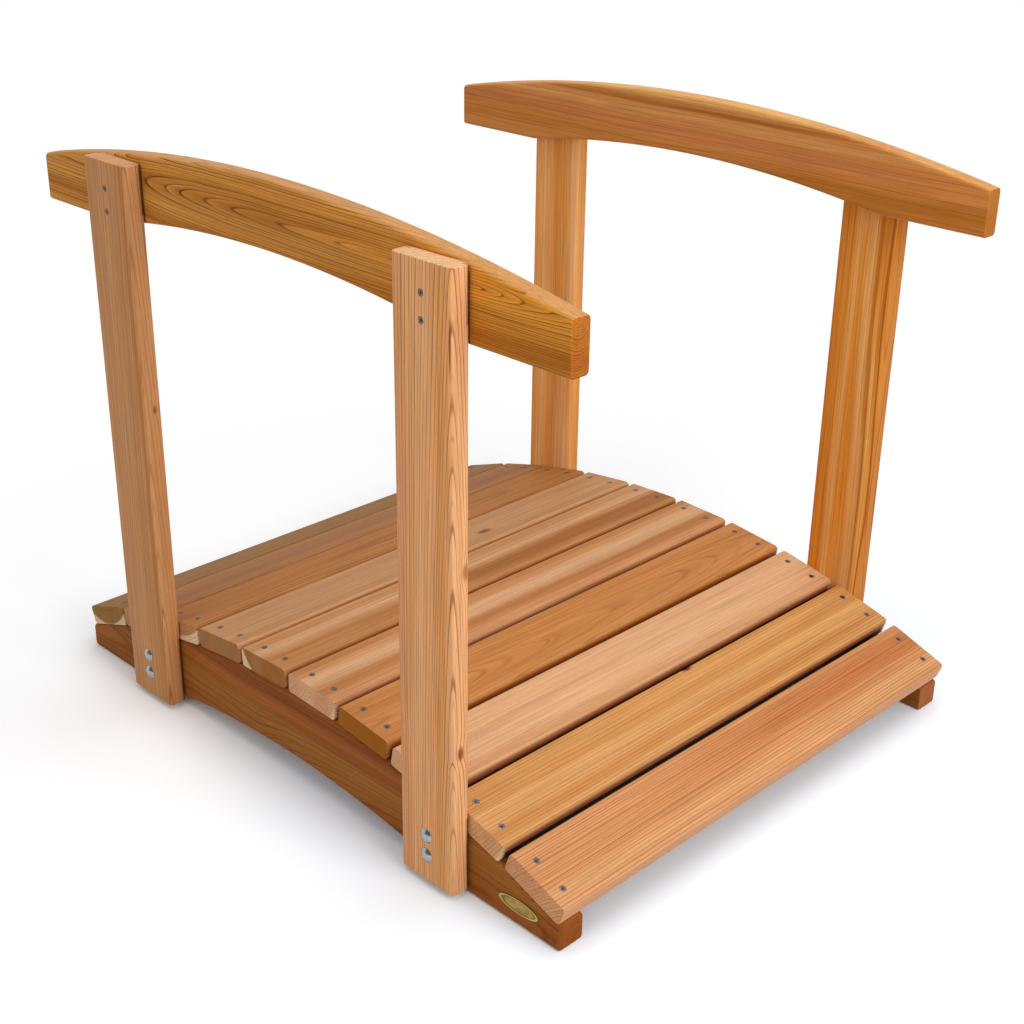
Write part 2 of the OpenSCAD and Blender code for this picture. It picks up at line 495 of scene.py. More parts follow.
        count = add(tree, "Math", {0: grain.anchor, 1: radius}, operation="SUBTRACT").outputs[0]
        even = add(tree, "Math", {0: count, 1: density, 2: grain.seed * self.RING_SHIFT},
                   operation="MULTIPLY_ADD").outputs[0]
        uneven = add(tree, "TexNoise", {"W": even, "Scale": self.UNEVEN_SCALE, "Detail": self.SOFT},
                     noise_dimensions="1D").outputs[0]
        rings = add(tree, "Math", {0: uneven, 1: self.UNEVEN, 2: even},
                    operation="MULTIPLY_ADD").outputs[0]
        return rings, radius

    def _near(self, tree: bpy.types.NodeTree, point: bpy.types.NodeSocket,
              knot: Knot) -> bpy.types.NodeSocket:
        """Measure how near a place is to a knot's axis.

        Args:
            tree: The material's node tree.
            point: Place in the board in millimetres.
            knot: The knot.

        Returns:
            The distance in millimetres, halved along the grain.
        """
        weights = (self.KNOT_LONG, 0.0, 1.0) if knot.through_edges else (self.KNOT_LONG, 1.0, 0.0)
        spot = (knot.along, knot.aside, knot.aside)
        centre = tuple(weight * place for weight, place in zip(weights, spot))
        flat = add(tree, "VectorMath", {0: point, 1: weights}, operation="MULTIPLY").outputs[0]
        return add(tree, "VectorMath", {0: flat, 1: centre}, operation="DISTANCE").outputs["Value"]

    def _lines(self, tree: bpy.types.NodeTree, point: bpy.types.NodeSocket, rings: bpy.types.NodeSocket,
               end: bpy.types.NodeSocket, edge: bpy.types.NodeSocket
               ) -> tuple[bpy.types.NodeSocket, bpy.types.NodeSocket]:
        """Draw the dark latewood line of each ring, thin lines between, and the broad tone of its decade.

        Args:
            tree: The material's node tree.
            point: Place in the board in millimetres.
            rings: The ring number with its fraction.
            end: 1 on the board's ends and 0 along it.
            edge: 1 on the board's long edges and 0 on its faces.

        Returns:
            The line's strength and the zone's tone, both from 0 to 1.
        """
        phase = add(tree, "Math", {0: rings}, operation="FRACT").outputs[0]
        late = add(tree, "MapRange", {"Value": phase, "From Min": self.LATE_FROM,
                                      "From Max": self.LATE_FULL},
                   interpolation_type="SMOOTHSTEP").outputs[0]
        soft = add(tree, "Math", {0: phase, 1: self.grain.grade}, operation="MULTIPLY").outputs[0]
        rise = add(tree, "Math", {0: late, 1: soft}, operation="MAXIMUM").outputs[0]
        fall = add(tree, "MapRange", {"Value": phase, "From Min": self.LATE_FULL,
                                      "To Min": 1.0, "To Max": 0.0}).outputs[0]
        line = add(tree, "Math", {0: rise, 1: fall}, operation="MULTIPLY").outputs[0]
        number = add(tree, "Math", {0: rings}, operation="FLOOR").outputs[0]
        chance = add(tree, "TexWhiteNoise", {"W": number}, noise_dimensions="1D").outputs[0]
        weight = add(tree, "MapRange", {"Value": chance, "To Min": self.FAINTEST}).outputs[0]
        weight = add(tree, "Math", {0: weight, 1: self.grain.line}, operation="MULTIPLY").outputs[0]
        line = add(tree, "Math", {0: line, 1: weight}, operation="MULTIPLY").outputs[0]
        sub = add(tree, "Math", {0: rings, 1: self.THIN}, operation="MULTIPLY").outputs[0]
        thin = add(tree, "Math", {0: sub, 1: self.THIN_HALF}, operation="PINGPONG").outputs[0]
        thin = add(tree, "MapRange", {"Value": thin, "From Min": self.THIN_RISE[0],
                                      "From Max": self.THIN_RISE[1]},
                   interpolation_type="SMOOTHSTEP").outputs[0]
        number = add(tree, "Math", {0: sub}, operation="FLOOR").outputs[0]
        chance = add(tree, "TexWhiteNoise", {"W": number}, noise_dimensions="1D").outputs[0]
        weight = add(tree, "MapRange", {"Value": chance, "From Min": self.THIN_SKIPPED,
                                        "To Max": self.grain.fine}).outputs[0]
        thin = add(tree, "Math", {0: thin, 1: weight}, operation="MULTIPLY").outputs[0]
        line = add(tree, "Math", {0: line, 1: thin}, operation="MAXIMUM").outputs[0]
        fade = self._noise(tree, point, self.FADE_L, self.FADE_W, self.SOFT)
        fade = add(tree, "MapRange", {"Value": fade, "From Min": self.FADE_SPAN[0],
                                      "From Max": self.FADE_SPAN[1], "To Min": self.FADED}).outputs[0]
        line = add(tree, "Math", {0: line, 1: fade}, operation="MULTIPLY").outputs[0]
        for mask, left in ((end, self.END_LINE), (edge, self.grain.edge_line)):
            faint = add(tree, "MapRange", {"Value": mask, "To Min": 1.0, "To Max": left}).outputs[0]
            line = add(tree, "Math", {0: line, 1: faint}, operation="MULTIPLY").outputs[0]
        decade = add(tree, "TexNoise", {"W": rings, "Scale": self.ZONE_SCALE, "Detail": self.FINE},
                     noise_dimensions="1D").outputs[0]
        zone = add(tree, "MapRange", {"Value": decade, "From Min": self.ZONE_SPAN[0],
                                      "From Max": self.ZONE_SPAN[1], "To Max": self.grain.zone},
                   interpolation_type="SMOOTHSTEP").outputs[0]
        return line, zone

    def _colour(self, tree: bpy.types.NodeTree, point: bpy.types.NodeSocket,
                swayed: bpy.types.NodeSocket, radius: bpy.types.NodeSocket,
                line: bpy.types.NodeSocket, zone: bpy.types.NodeSocket, end: bpy.types.NodeSocket,
                edge: bpy.types.NodeSocket) -> bpy.types.NodeSocket:
        """Colour the rings, streaks, painted edge light and shade, sawn ends, sapwood and knots.

        Args:
            tree: The material's node tree.
            point: Place in the board in millimetres.
            swayed: The same place after the trunk's sway.
            radius: Distance from the pith in millimetres.
            line: Strength of the latewood line.
            zone: Tone of the rings about it.
            end: 1 on the board's ends and 0 along it.
            edge: 1 on the board's long edges and 0 on its faces.

        Returns:
            The wood's colour.
        """
        tone, grain = self.tone, self.grain
        drift = self._noise(tree, point, self.STREAK_L, self.STREAK_W, self.FINE)
        drift = add(tree, "MapRange", {"Value": drift, "From Min": self.STREAK_SPAN[0],
                                       "From Max": self.STREAK_SPAN[1], "To Max": grain.drift},
                    interpolation_type="SMOOTHSTEP").outputs[0]
        layers = [(zone, tone.warm), (drift, tone.pale)]
        layers += [(self._band(tree, point, swayed, streak), streak.colour) for streak in grain.streaks]
        # The long edges take rim, their painted light and shade; the sawn ends take their own colour
        for mask, share, code in ((edge, grain.edge_light_share, grain.rim), (end, grain.cut, grain.sawn)):
            layers.append((add(tree, "Math", {0: mask, 1: share}, operation="MULTIPLY").outputs[0], code))
        if grain.sap:
            pale = add(tree, "MapRange", {"Value": radius, "From Min": grain.sap + self.SAP_EDGE[0],
                                          "From Max": grain.sap + self.SAP_EDGE[1],
                                          "To Max": self.SAP_SHARE},
                       interpolation_type="SMOOTHSTEP").outputs[0]
            layers.append((pale, self.SAPWOOD))
        layers.append((line, tone.late))
        for knot in grain.knots:
            near = self._near(tree, point, knot)
            dark = add(tree, "MapRange", {"Value": near, "From Min": self.KNOT_EDGE[0] * knot.core,
                                          "From Max": self.KNOT_EDGE[1] * knot.core,
                                          "To Min": self.KNOT_SHARE, "To Max": 0.0},
                       interpolation_type="SMOOTHSTEP").outputs[0]
            layers.append((dark, knot.colour))
        colour = linear(tone.early)
        for amount, code in layers:
            colour = add(tree, "Mix", {0: amount, 6: colour, 7: linear(code)}, data_type="RGBA").outputs[2]
        return colour

    def _band(self, tree: bpy.types.NodeTree, point: bpy.types.NodeSocket, swayed: bpy.types.NodeSocket,
              streak: Streak) -> bpy.types.NodeSocket:
        """Find where a streak lies.

        Args:
            tree: The material's node tree.
            point: Place in the board in millimetres.
            swayed: Place in the board after the trunk's sway, in millimetres.
            streak: The streak.

        Returns:
            The streak's strength there.
        """
        axes = add(tree, "SeparateXYZ", {0: swayed})
        aside = add(tree, "Math", {0: axes.outputs[0], 1: -streak.lean, 2: axes.outputs[1]},
                    operation="MULTIPLY_ADD").outputs[0]
        ragged = self._noise(tree, point, self.RAGGED_L, self.RAGGED_W, self.FINE)
        swing = streak.ragged * streak.half
        aside = add(tree, "Math", {0: ragged, 1: swing, 2: aside}, operation="MULTIPLY_ADD").outputs[0]
        aside = add(tree, "Math", {0: aside, 1: streak.at + self.MIDDLE * swing},
                    operation="SUBTRACT").outputs[0]
        aside = add(tree, "Math", {0: aside}, operation="ABSOLUTE").outputs[0]
        amount = add(tree, "MapRange", {"Value": aside, "From Min": self.STREAK_CORE * streak.half,
                                        "From Max": streak.half, "To Min": streak.strength,
                                        "To Max": 0.0}, interpolation_type="SMOOTHSTEP").outputs[0]
        start = add(tree, "MapRange", {"Value": axes.outputs[0], "From Min": streak.since - streak.fade,
                                       "From Max": streak.since + streak.fade},
                    interpolation_type="SMOOTHSTEP").outputs[0]
        stop = add(tree, "MapRange", {"Value": axes.outputs[0], "From Min": streak.until - streak.fade,
                                      "From Max": streak.until + streak.fade, "To Min": 1.0, "To Max": 0.0},
                   interpolation_type="SMOOTHSTEP").outputs[0]
        span = add(tree, "Math", {0: start, 1: stop}, operation="MULTIPLY").outputs[0]
        return add(tree, "Math", {0: amount, 1: span}, operation="MULTIPLY").outputs[0]

    def _weather(self, tree: bpy.types.NodeTree, point: bpy.types.NodeSocket,
                 colour: bpy.types.NodeSocket, fibre: bpy.types.NodeSocket,
                 end: bpy.types.NodeSocket) -> bpy.types.NodeSocket:
        """Add the fibres, the resin flecks and the speckled end grain to the colour.

        Args:
            tree: The material's node tree.
            point: Place in the board in millimetres.
            colour: The wood's colour.
            fibre: Fine noise along the grain.
            end: 1 on the board's ends and 0 along it.

        Returns:
            The finished colour.
        """
        bundle = self._noise(tree, point, self.BUNDLE_L, self.BUNDLE_W, self.SOFT)
        fleck = self._noise(tree, point, self.FLECK_L, self.FLECK_W, self.SOFT)
        pore = self._noise(tree, point, self.PORE, self.PORE, self.SOFT)
        lights = [add(tree, "MapRange", {"Value": noise, "From Min": span[0], "From Max": span[1],
                                         "To Min": light[0], "To Max": light[1]}).outputs[0]
                  for noise, span, light in ((fibre, self.FIBRE_SPAN, self.FIBRE_LIGHT),
                                             (bundle, self.FIBRE_SPAN, self.BUNDLE_LIGHT),
                                             (pore, self.PORE_SPAN, self.PORE_LIGHT))]
        fine, broad, speckle = lights
        along = add(tree, "Math", {0: fine, 1: broad}, operation="MULTIPLY").outputs[0]
        value = add(tree, "Mix", {0: end, 2: along, 3: speckle}).outputs[0]
        colour = add(tree, "HueSaturation", {"Color": colour, "Value": value}).outputs[0]
        amount = add(tree, "MapRange", {"Value": fleck, "From Min": self.FLECK_SPAN[0],
                                        "From Max": self.FLECK_SPAN[1],
                                        "To Max": self.FLECK_SHARE}).outputs[0]
        return add(tree, "Mix", {0: amount, 6: colour, 7: linear(self.tone.late)},
                   data_type="RGBA").outputs[2]

    def _soiled(self, tree: bpy.types.NodeTree, point: bpy.types.NodeSocket,
                colour: bpy.types.NodeSocket) -> bpy.types.NodeSocket:
        """Paint shade into the crevices, gaps and seams.

        Args:
            tree: The material's node tree.
            point: Place in the board in millimetres.
            colour: The colour without its painted shade.

        Returns:
            The colour with its painted shade.
        """
        for soil in self.soil:
            off = add(tree, "VectorMath", {0: point, 1: soil.centre}, operation="SUBTRACT").outputs[0]
            off = add(tree, "VectorMath", {0: off}, operation="ABSOLUTE").outputs[0]
            off = add(tree, "VectorMath", {0: off, 1: soil.half}, operation="SUBTRACT").outputs[0]
            along, across, through = add(tree, "SeparateXYZ", {0: off}).outputs
            far = add(tree, "Math", {0: along, 1: across}, operation="MAXIMUM").outputs[0]
            far = add(tree, "Math", {0: far, 1: through}, operation="MAXIMUM").outputs[0]
            amount = add(tree, "MapRange", {"Value": far, "From Max": soil.soft, "To Min": soil.depth,
                                            "To Max": 0.0}, interpolation_type="SMOOTHSTEP").outputs[0]
            colour = add(tree, "Mix", {0: amount, 6: colour, 7: linear(soil.colour)},
                         data_type="RGBA").outputs[2]
        return colour

    def _shade(self, tree: bpy.types.NodeTree, colour: bpy.types.NodeSocket,
               fibre: bpy.types.NodeSocket, line: bpy.types.NodeSocket,
               end: bpy.types.NodeSocket) -> None:
        """Give the colour its shine and relief.

        Args:
            tree: The material's node tree.
            colour: The finished colour.
            fibre: Fine noise along the grain.
            line: Strength of the latewood line.
            end: 1 on the board's ends and 0 along it.
        """
        rough = add(tree, "MapRange", {"Value": end, "To Min": self.SATIN, "To Max": self.DULL}).outputs[0]
        rough = add(tree, "Math", {0: fibre, 1: self.FIBRE_ROUGH, 2: rough},
                    operation="MULTIPLY_ADD").outputs[0]
        height = add(tree, "Math", {0: line, 1: self.LINE_RELIEF, 2: fibre},
                     operation="MULTIPLY_ADD").outputs[0]
        bump = add(tree, "Bump", {"Height": height, "Strength": self.RELIEF_SHARE,
                                  "Distance": self.RELIEF})
        shader = add(tree, "BsdfPrincipled", {"Base Color": colour, "Roughness": rough, "IOR": self.IOR,
                                              "Specular IOR Level": self.SHINE, "Normal": bump.outputs[0]})
        add(tree, "OutputMaterial", {"Surface": shader.outputs[0]})


@dataclass(frozen=True)
class ZincFinish:
    """Cold-headed steel, zinc plated and clear passivated.

    To the eye it is a bright grey metal with a faint cloudy bloom and very fine pits.
    """

    name: str = "zinc_plated_steel"
    colour: str = "#bbbebf"
    bloom: str = "#888b8c"
    rough: Point2 = (0.12, 0.28)
    metal: float = 1.0
    # Clouds of bloom 2.5 mm across; pits are under 0.1 mm and are drawn 0.4 mm wide so that they show
    BLOOM_SIZE = 2.5
    BLOOM_DETAIL = 3.0
    PIT_SIZE = 0.4
    PIT_DEPTH = 0.05 * MM
    PIT_SHARE = 0.1

    def material(self) -> bpy.types.Material:
        """Build the plated steel.

        Returns:
            The material.
        """
        material, tree = new_tree(self.name)
        coords = add(tree, "TexCoord").outputs["Object"]
        cloud = add(tree, "TexNoise", {"Vector": coords, "Scale": 1.0 / (self.BLOOM_SIZE * MM),
                                       "Detail": self.BLOOM_DETAIL}).outputs[0]
        colour = add(tree, "Mix", {0: cloud, 6: linear(self.bloom), 7: linear(self.colour)},
                     data_type="RGBA").outputs[2]
        rough = add(tree, "MapRange", {"Value": cloud, "To Min": self.rough[0],
                                       "To Max": self.rough[1]}).outputs[0]
        pits = add(tree, "TexNoise", {"Vector": coords, "Scale": 1.0 / (self.PIT_SIZE * MM)}).outputs[0]
        bump = add(tree, "Bump", {"Height": pits, "Strength": self.PIT_SHARE, "Distance": self.PIT_DEPTH})
        shader = add(tree, "BsdfPrincipled", {"Base Color": colour, "Metallic": self.metal,
                                              "Roughness": rough, "Normal": bump.outputs[0]})
        add(tree, "OutputMaterial", {"Surface": shader.outputs[0]})
        return material


@dataclass(frozen=True)
class BrassFinish:
    """Stamped sheet brass under old lacquer.

    To the eye it is an olive gold, browner in clouds, with grime inside its bright rim and, along its
    outer edge, painted shade with grime.
    """

    name: str = "stamped_lacquered_brass"
    bright: str = "#b0964a"
    tarnish: str = "#96793a"
    # Dark brown of the grime, and of the painted shade along the outer edge
    grime: str = "#4e3a18"
    rim: str = "#cdb46a"
    half: Point2 = (31.0, 9.25)
    # Clouds of tarnish 9 mm across; pits are under 0.1 mm and are drawn 0.5 mm wide so that they show
    CLOUD_SIZE = 9.0
    CLOUD_DETAIL = 4.0
    CLOUD_SPAN = (0.35, 0.7)
    ROUGH = (0.32, 0.48)
    PIT_SIZE = 0.5
    PIT_DEPTH = 0.05 * MM
    PIT_SHARE = 0.15
    # Share of the way out to the edge where each band starts and is full, and its strength
    INNER_GRIME = (0.66, 0.8, 0.55)
    BRIGHT_RIM = (0.84, 0.88, 1.0)
    # The outer band is painted shade where the plate meets the wood, with grime in it
    OUTER_SHADE_AND_GRIME = (0.96, 0.99, 0.8)

    def material(self) -> bpy.types.Material:
        """Build the lacquered brass.

        Returns:
            The material.
        """
        material, tree = new_tree(self.name)
        coords = add(tree, "TexCoord").outputs["Object"]
        cloud = add(tree, "TexNoise", {"Vector": coords, "Scale": 1.0 / (self.CLOUD_SIZE * MM),
                                       "Detail": self.CLOUD_DETAIL}).outputs[0]
        amount = add(tree, "MapRange", {"Value": cloud, "From Min": self.CLOUD_SPAN[0],
                                        "From Max": self.CLOUD_SPAN[1]},
                     interpolation_type="SMOOTHSTEP").outputs[0]
        colour = add(tree, "Mix", {0: amount, 6: linear(self.bright), 7: linear(self.tarnish)},
                     data_type="RGBA").outputs[2]
        stretch = (1.0 / (self.half[0] * MM), 1.0 / (self.half[1] * MM), 0.0)
        oval = add(tree, "VectorMath", {0: coords, 1: stretch}, operation="MULTIPLY").outputs[0]
        oval = add(tree, "VectorMath", {0: oval}, operation="LENGTH").outputs["Value"]
        for (low, high, strength), code in ((self.INNER_GRIME, self.grime), (self.BRIGHT_RIM, self.rim),
                                            (self.OUTER_SHADE_AND_GRIME, self.grime)):
            band = add(tree, "MapRange", {"Value": oval, "From Min": low, "From Max": high,
                                          "To Max": strength},
                       interpolation_type="SMOOTHSTEP").outputs[0]
            colour = add(tree, "Mix", {0: band, 6: colour, 7: linear(code)}, data_type="RGBA").outputs[2]
        rough = add(tree, "MapRange", {"Value": amount, "To Min": self.ROUGH[0],
                                       "To Max": self.ROUGH[1]}).outputs[0]
        pits = add(tree, "TexNoise", {"Vector": coords, "Scale": 1.0 / (self.PIT_SIZE * MM)}).outputs[0]
        bump = add(tree, "Bump", {"Height": pits, "Strength": self.PIT_SHARE, "Distance": self.PIT_DEPTH})
        shader = add(tree, "BsdfPrincipled", {"Base Color": colour, "Metallic": 1.0, "Roughness": rough,
                                              "Normal": bump.outputs[0]})
        add(tree, "OutputMaterial", {"Surface": shader.outputs[0]})
        return material


class Shape:
    """Mesh tools that the sub-assemblies share, all in millimetres."""

    CORNER_STEPS = 7
    EASE_STEPS = 3
    # A radius below this is a pole
    POLE = 1e-6

    @staticmethod
    def outline(width: float, height: float, radius: float) -> list[Point2]:
        """Draw a rectangle with rounded corners, centred.

        Args:
            width: Size across.
            height: Size up.
            radius: Radius of the corners.

        Returns:
            The outline's points, anticlockwise.
        """
        points = []
        for turn, (sx, sy) in enumerate(((1, 1), (-1, 1), (-1, -1), (1, -1))):
            cx = sx * (width / 2 - radius)
            cy = sy * (height / 2 - radius)
            for step in range(Shape.CORNER_STEPS + 1):
                angle = math.pi / 2 * (turn + step / Shape.CORNER_STEPS)
                points.append((cx + radius * math.cos(angle), cy + radius * math.sin(angle)))
        return points

    @staticmethod
    def eased(half: float, ease: float, stations: Sequence[float]) -> list[Point2]:
        """Place the sections of a board whose ends are eased.

        Args:
            half: Half of the board's length.
            ease: Radius of the easing at the ends.
            stations: Places between the ends that need a section.

        Returns:
            Place along the board and inset of each section.
        """
        turns = [math.pi / 2 * k / Shape.EASE_STEPS for k in range(Shape.EASE_STEPS + 1)]
        rise = [(half - ease + ease * math.sin(a), ease * (1.0 - math.cos(a))) for a in turns]
        low = [(-place, inset) for place, inset in reversed(rise)]
        return low + [(place, 0.0) for place in stations] + rise

    @staticmethod
    def loft(name: str, sections: Sequence[Sequence[Point3]]) -> bpy.types.Object:
        """Skin a row of closed sections and cap both ends.

        Args:
            name: The piece's name.
            sections: Sections of equal length in millimetres.

        Returns:
            The new piece, in metres.
        """
        mesh = bmesh.new()
        rows = [[mesh.verts.new(Vector(p) * MM) for p in section] for section in sections]
        count = len(rows[0])
        for low, high in zip(rows, rows[1:]):
            for i in range(count):
                j = (i + 1) % count
                mesh.faces.new((low[i], low[j], high[j], high[i]))
        mesh.faces.new(list(reversed(rows[0])))
        mesh.faces.new(rows[-1])
        return Shape.publish(name, mesh)

    @staticmethod
    def plank(name: str, length: float, width: float, thick: float, edge: float,
              ease: float) -> bpy.types.Object:
        """Build a straight board along X in its own frame.

        Args:
            name: The piece's name.
            length: Its length.
            width: Its width.
            thick: Its thickness.
            edge: Radius of its long edges.
            ease: Radius of the easing at its ends.

        Returns:
            The board without its holes.
        """
        half = length / 2
        sections = []
        for place, inset in Shape.eased(half, ease, (-half / 2, 0.0, half / 2)):
            ring = Shape.outline(width - 2 * inset, thick - 2 * inset, edge - inset)
            sections.append([(place, w, t) for w, t in ring])
        return Shape.loft(name, sections)

    @staticmethod
    def lathe(name: str, profile: Sequence[Point2], segments: int) -> bpy.types.Object:
        """Turn a profile about Z.

        Args:
            name: The piece's name.
            profile: Radius and height of each point, from pole to pole, in millimetres.
            segments: Facets of a full turn.

        Returns:
            The new piece, in metres.
        """
        mesh = bmesh.new()
        rows = []
        for radius, height in profile:
            if radius < Shape.POLE:
                rows.append([mesh.verts.new((0.0, 0.0, height * MM))])
                continue
            turns = [2 * math.pi * i / segments for i in range(segments)]
            rows.append([mesh.verts.new((radius * MM * math.cos(a), radius * MM * math.sin(a),
                                         height * MM)) for a in turns])
        for low, high in zip(rows, rows[1:]):
            for i in range(segments):
                j = (i + 1) % segments
                ring = [low[i % len(low)], low[j % len(low)], high[j % len(high)], high[i % len(high)]]
                mesh.faces.new(list(dict.fromkeys(ring)))
        return Shape.publish(name, mesh)

    @staticmethod
    def publish(name: str, mesh: bmesh.types.BMesh) -> bpy.types.Object:
        """Turn edited geometry into an object of the scene.

        Args:
            name: The piece's name.
            mesh: The geometry in metres, freed here.

        Returns:
            The new piece.
        """
        bmesh.ops.recalc_face_normals(mesh, faces=mesh.faces)
        data = bpy.data.meshes.new(name)
        mesh.to_mesh(data)
        mesh.free()
        piece = bpy.data.objects.new(name, data)
        bpy.context.scene.collection.objects.link(piece)
        return piece

    @staticmethod
    def copies(name: str, master: bpy.types.Object, places: Sequence[Matrix]) -> bpy.types.Object:
        """Join copies of a piece at several places, and drop the piece itself.

        Args:
            name: The new piece's name.
            master: The piece to copy.
            places: Where each copy goes, in metres.

        Returns:
            The joined piece.
        """
        mesh = bmesh.new()
        for place in places:
            data = master.data.copy()
            data.transform(place)
            mesh.from_mesh(data)
            bpy.data.meshes.remove(data)
        Shape.drop(master)
        return Shape.publish(name, mesh)

    @staticmethod
    def join(name: str, parts: Sequence[bpy.types.Object]) -> bpy.types.Object:
        """Join pieces that touch into one, and drop them.

        Args:
            name: The new piece's name.
            parts: The pieces, all in one frame.

        Returns:
            The joined piece.
        """
        mesh = bmesh.new()
        for part in parts:
            mesh.from_mesh(part.data)
            Shape.drop(part)
        return Shape.publish(name, mesh)

    @staticmethod
    def drop(piece: bpy.types.Object) -> None:
        """Remove a working object and its mesh.

        Args:
            piece: The object.
        """
        data = piece.data
        bpy.data.objects.remove(piece)
        bpy.data.meshes.remove(data)

    @staticmethod
    def combine(piece: bpy.types.Object, tool: bpy.types.Object, operation: str = "DIFFERENCE") -> None:
        """Cut or crop a piece with a tool, and drop the tool.

        Args:
            piece: The piece to change.
            tool: The tool, in the piece's own frame.
            operation: Blender's name for the boolean.
        """
        change = piece.modifiers.new("combine", "BOOLEAN")
        change.object = tool
        change.operation = operation
        change.solver = "EXACT"
        graph = bpy.context.evaluated_depsgraph_get()
        data = bpy.data.meshes.new_from_object(piece.evaluated_get(graph))
        piece.modifiers.clear()
        old = piece.data
        piece.data = data
        bpy.data.meshes.remove(old)
        data.name = piece.name
        Shape.drop(tool)

    @staticmethod
    def smooth(piece: bpy.types.Object) -> None:
        """Shade the curves smooth, and keep flat faces flat and hard edges hard.

        Args:
            piece: The piece to shade.
        """
        piece.data.shade_smooth()
        piece.data.set_sharp_from_angle(angle=SMOOTH_ANGLE)
        weigh = piece.modifiers.new("flat_faces", "WEIGHTED_NORMAL")
        weigh.keep_sharp = True

    @staticmethod
    def arc_radius(half_chord: float, rise: float) -> float:
        """Give the radius of the arc with this half-chord and rise."""
        return (half_chord ** 2 + rise ** 2) / (2 * rise)


def place_piece(piece: bpy.types.Object, material: bpy.types.Material, slot: Slot, *nodes: str) -> None:
    """Dress a finished piece, ride it on the bridge and hide the CAD nodes it stands for.

    Args:
        piece: The finished piece, in place.
        material: Its material.
        slot: The record's slot for its finish.
        *nodes: The CAD nodes that it replaces.
    """
    piece.data.materials.clear()
    piece.data.materials.append(material)
    Shape.smooth(piece)
    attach(piece, BODY)
    if nodes:
        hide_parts(*nodes)
    LOG.info("%s: %d faces, %s", piece.name, len(piece.data.polygons), slot.value)


def board_place(origin: Point3, along: Point3, across: Point3) -> Matrix:
    """Give the place of a board whose own axes run along, across and through it.

    Args:
        origin: The board's centre in millimetres.
        along: Direction of its length.
        across: Direction of its width.

    Returns:
        The matrix from the board's own frame to the bridge's, in metres.
    """
    length = Vector(along)
    width = Vector(across)
    through = length.cross(width)
    turn = Matrix((length, width, through)).transposed().to_4x4()
    return Matrix.Translation(Vector(origin) * MM) @ turn


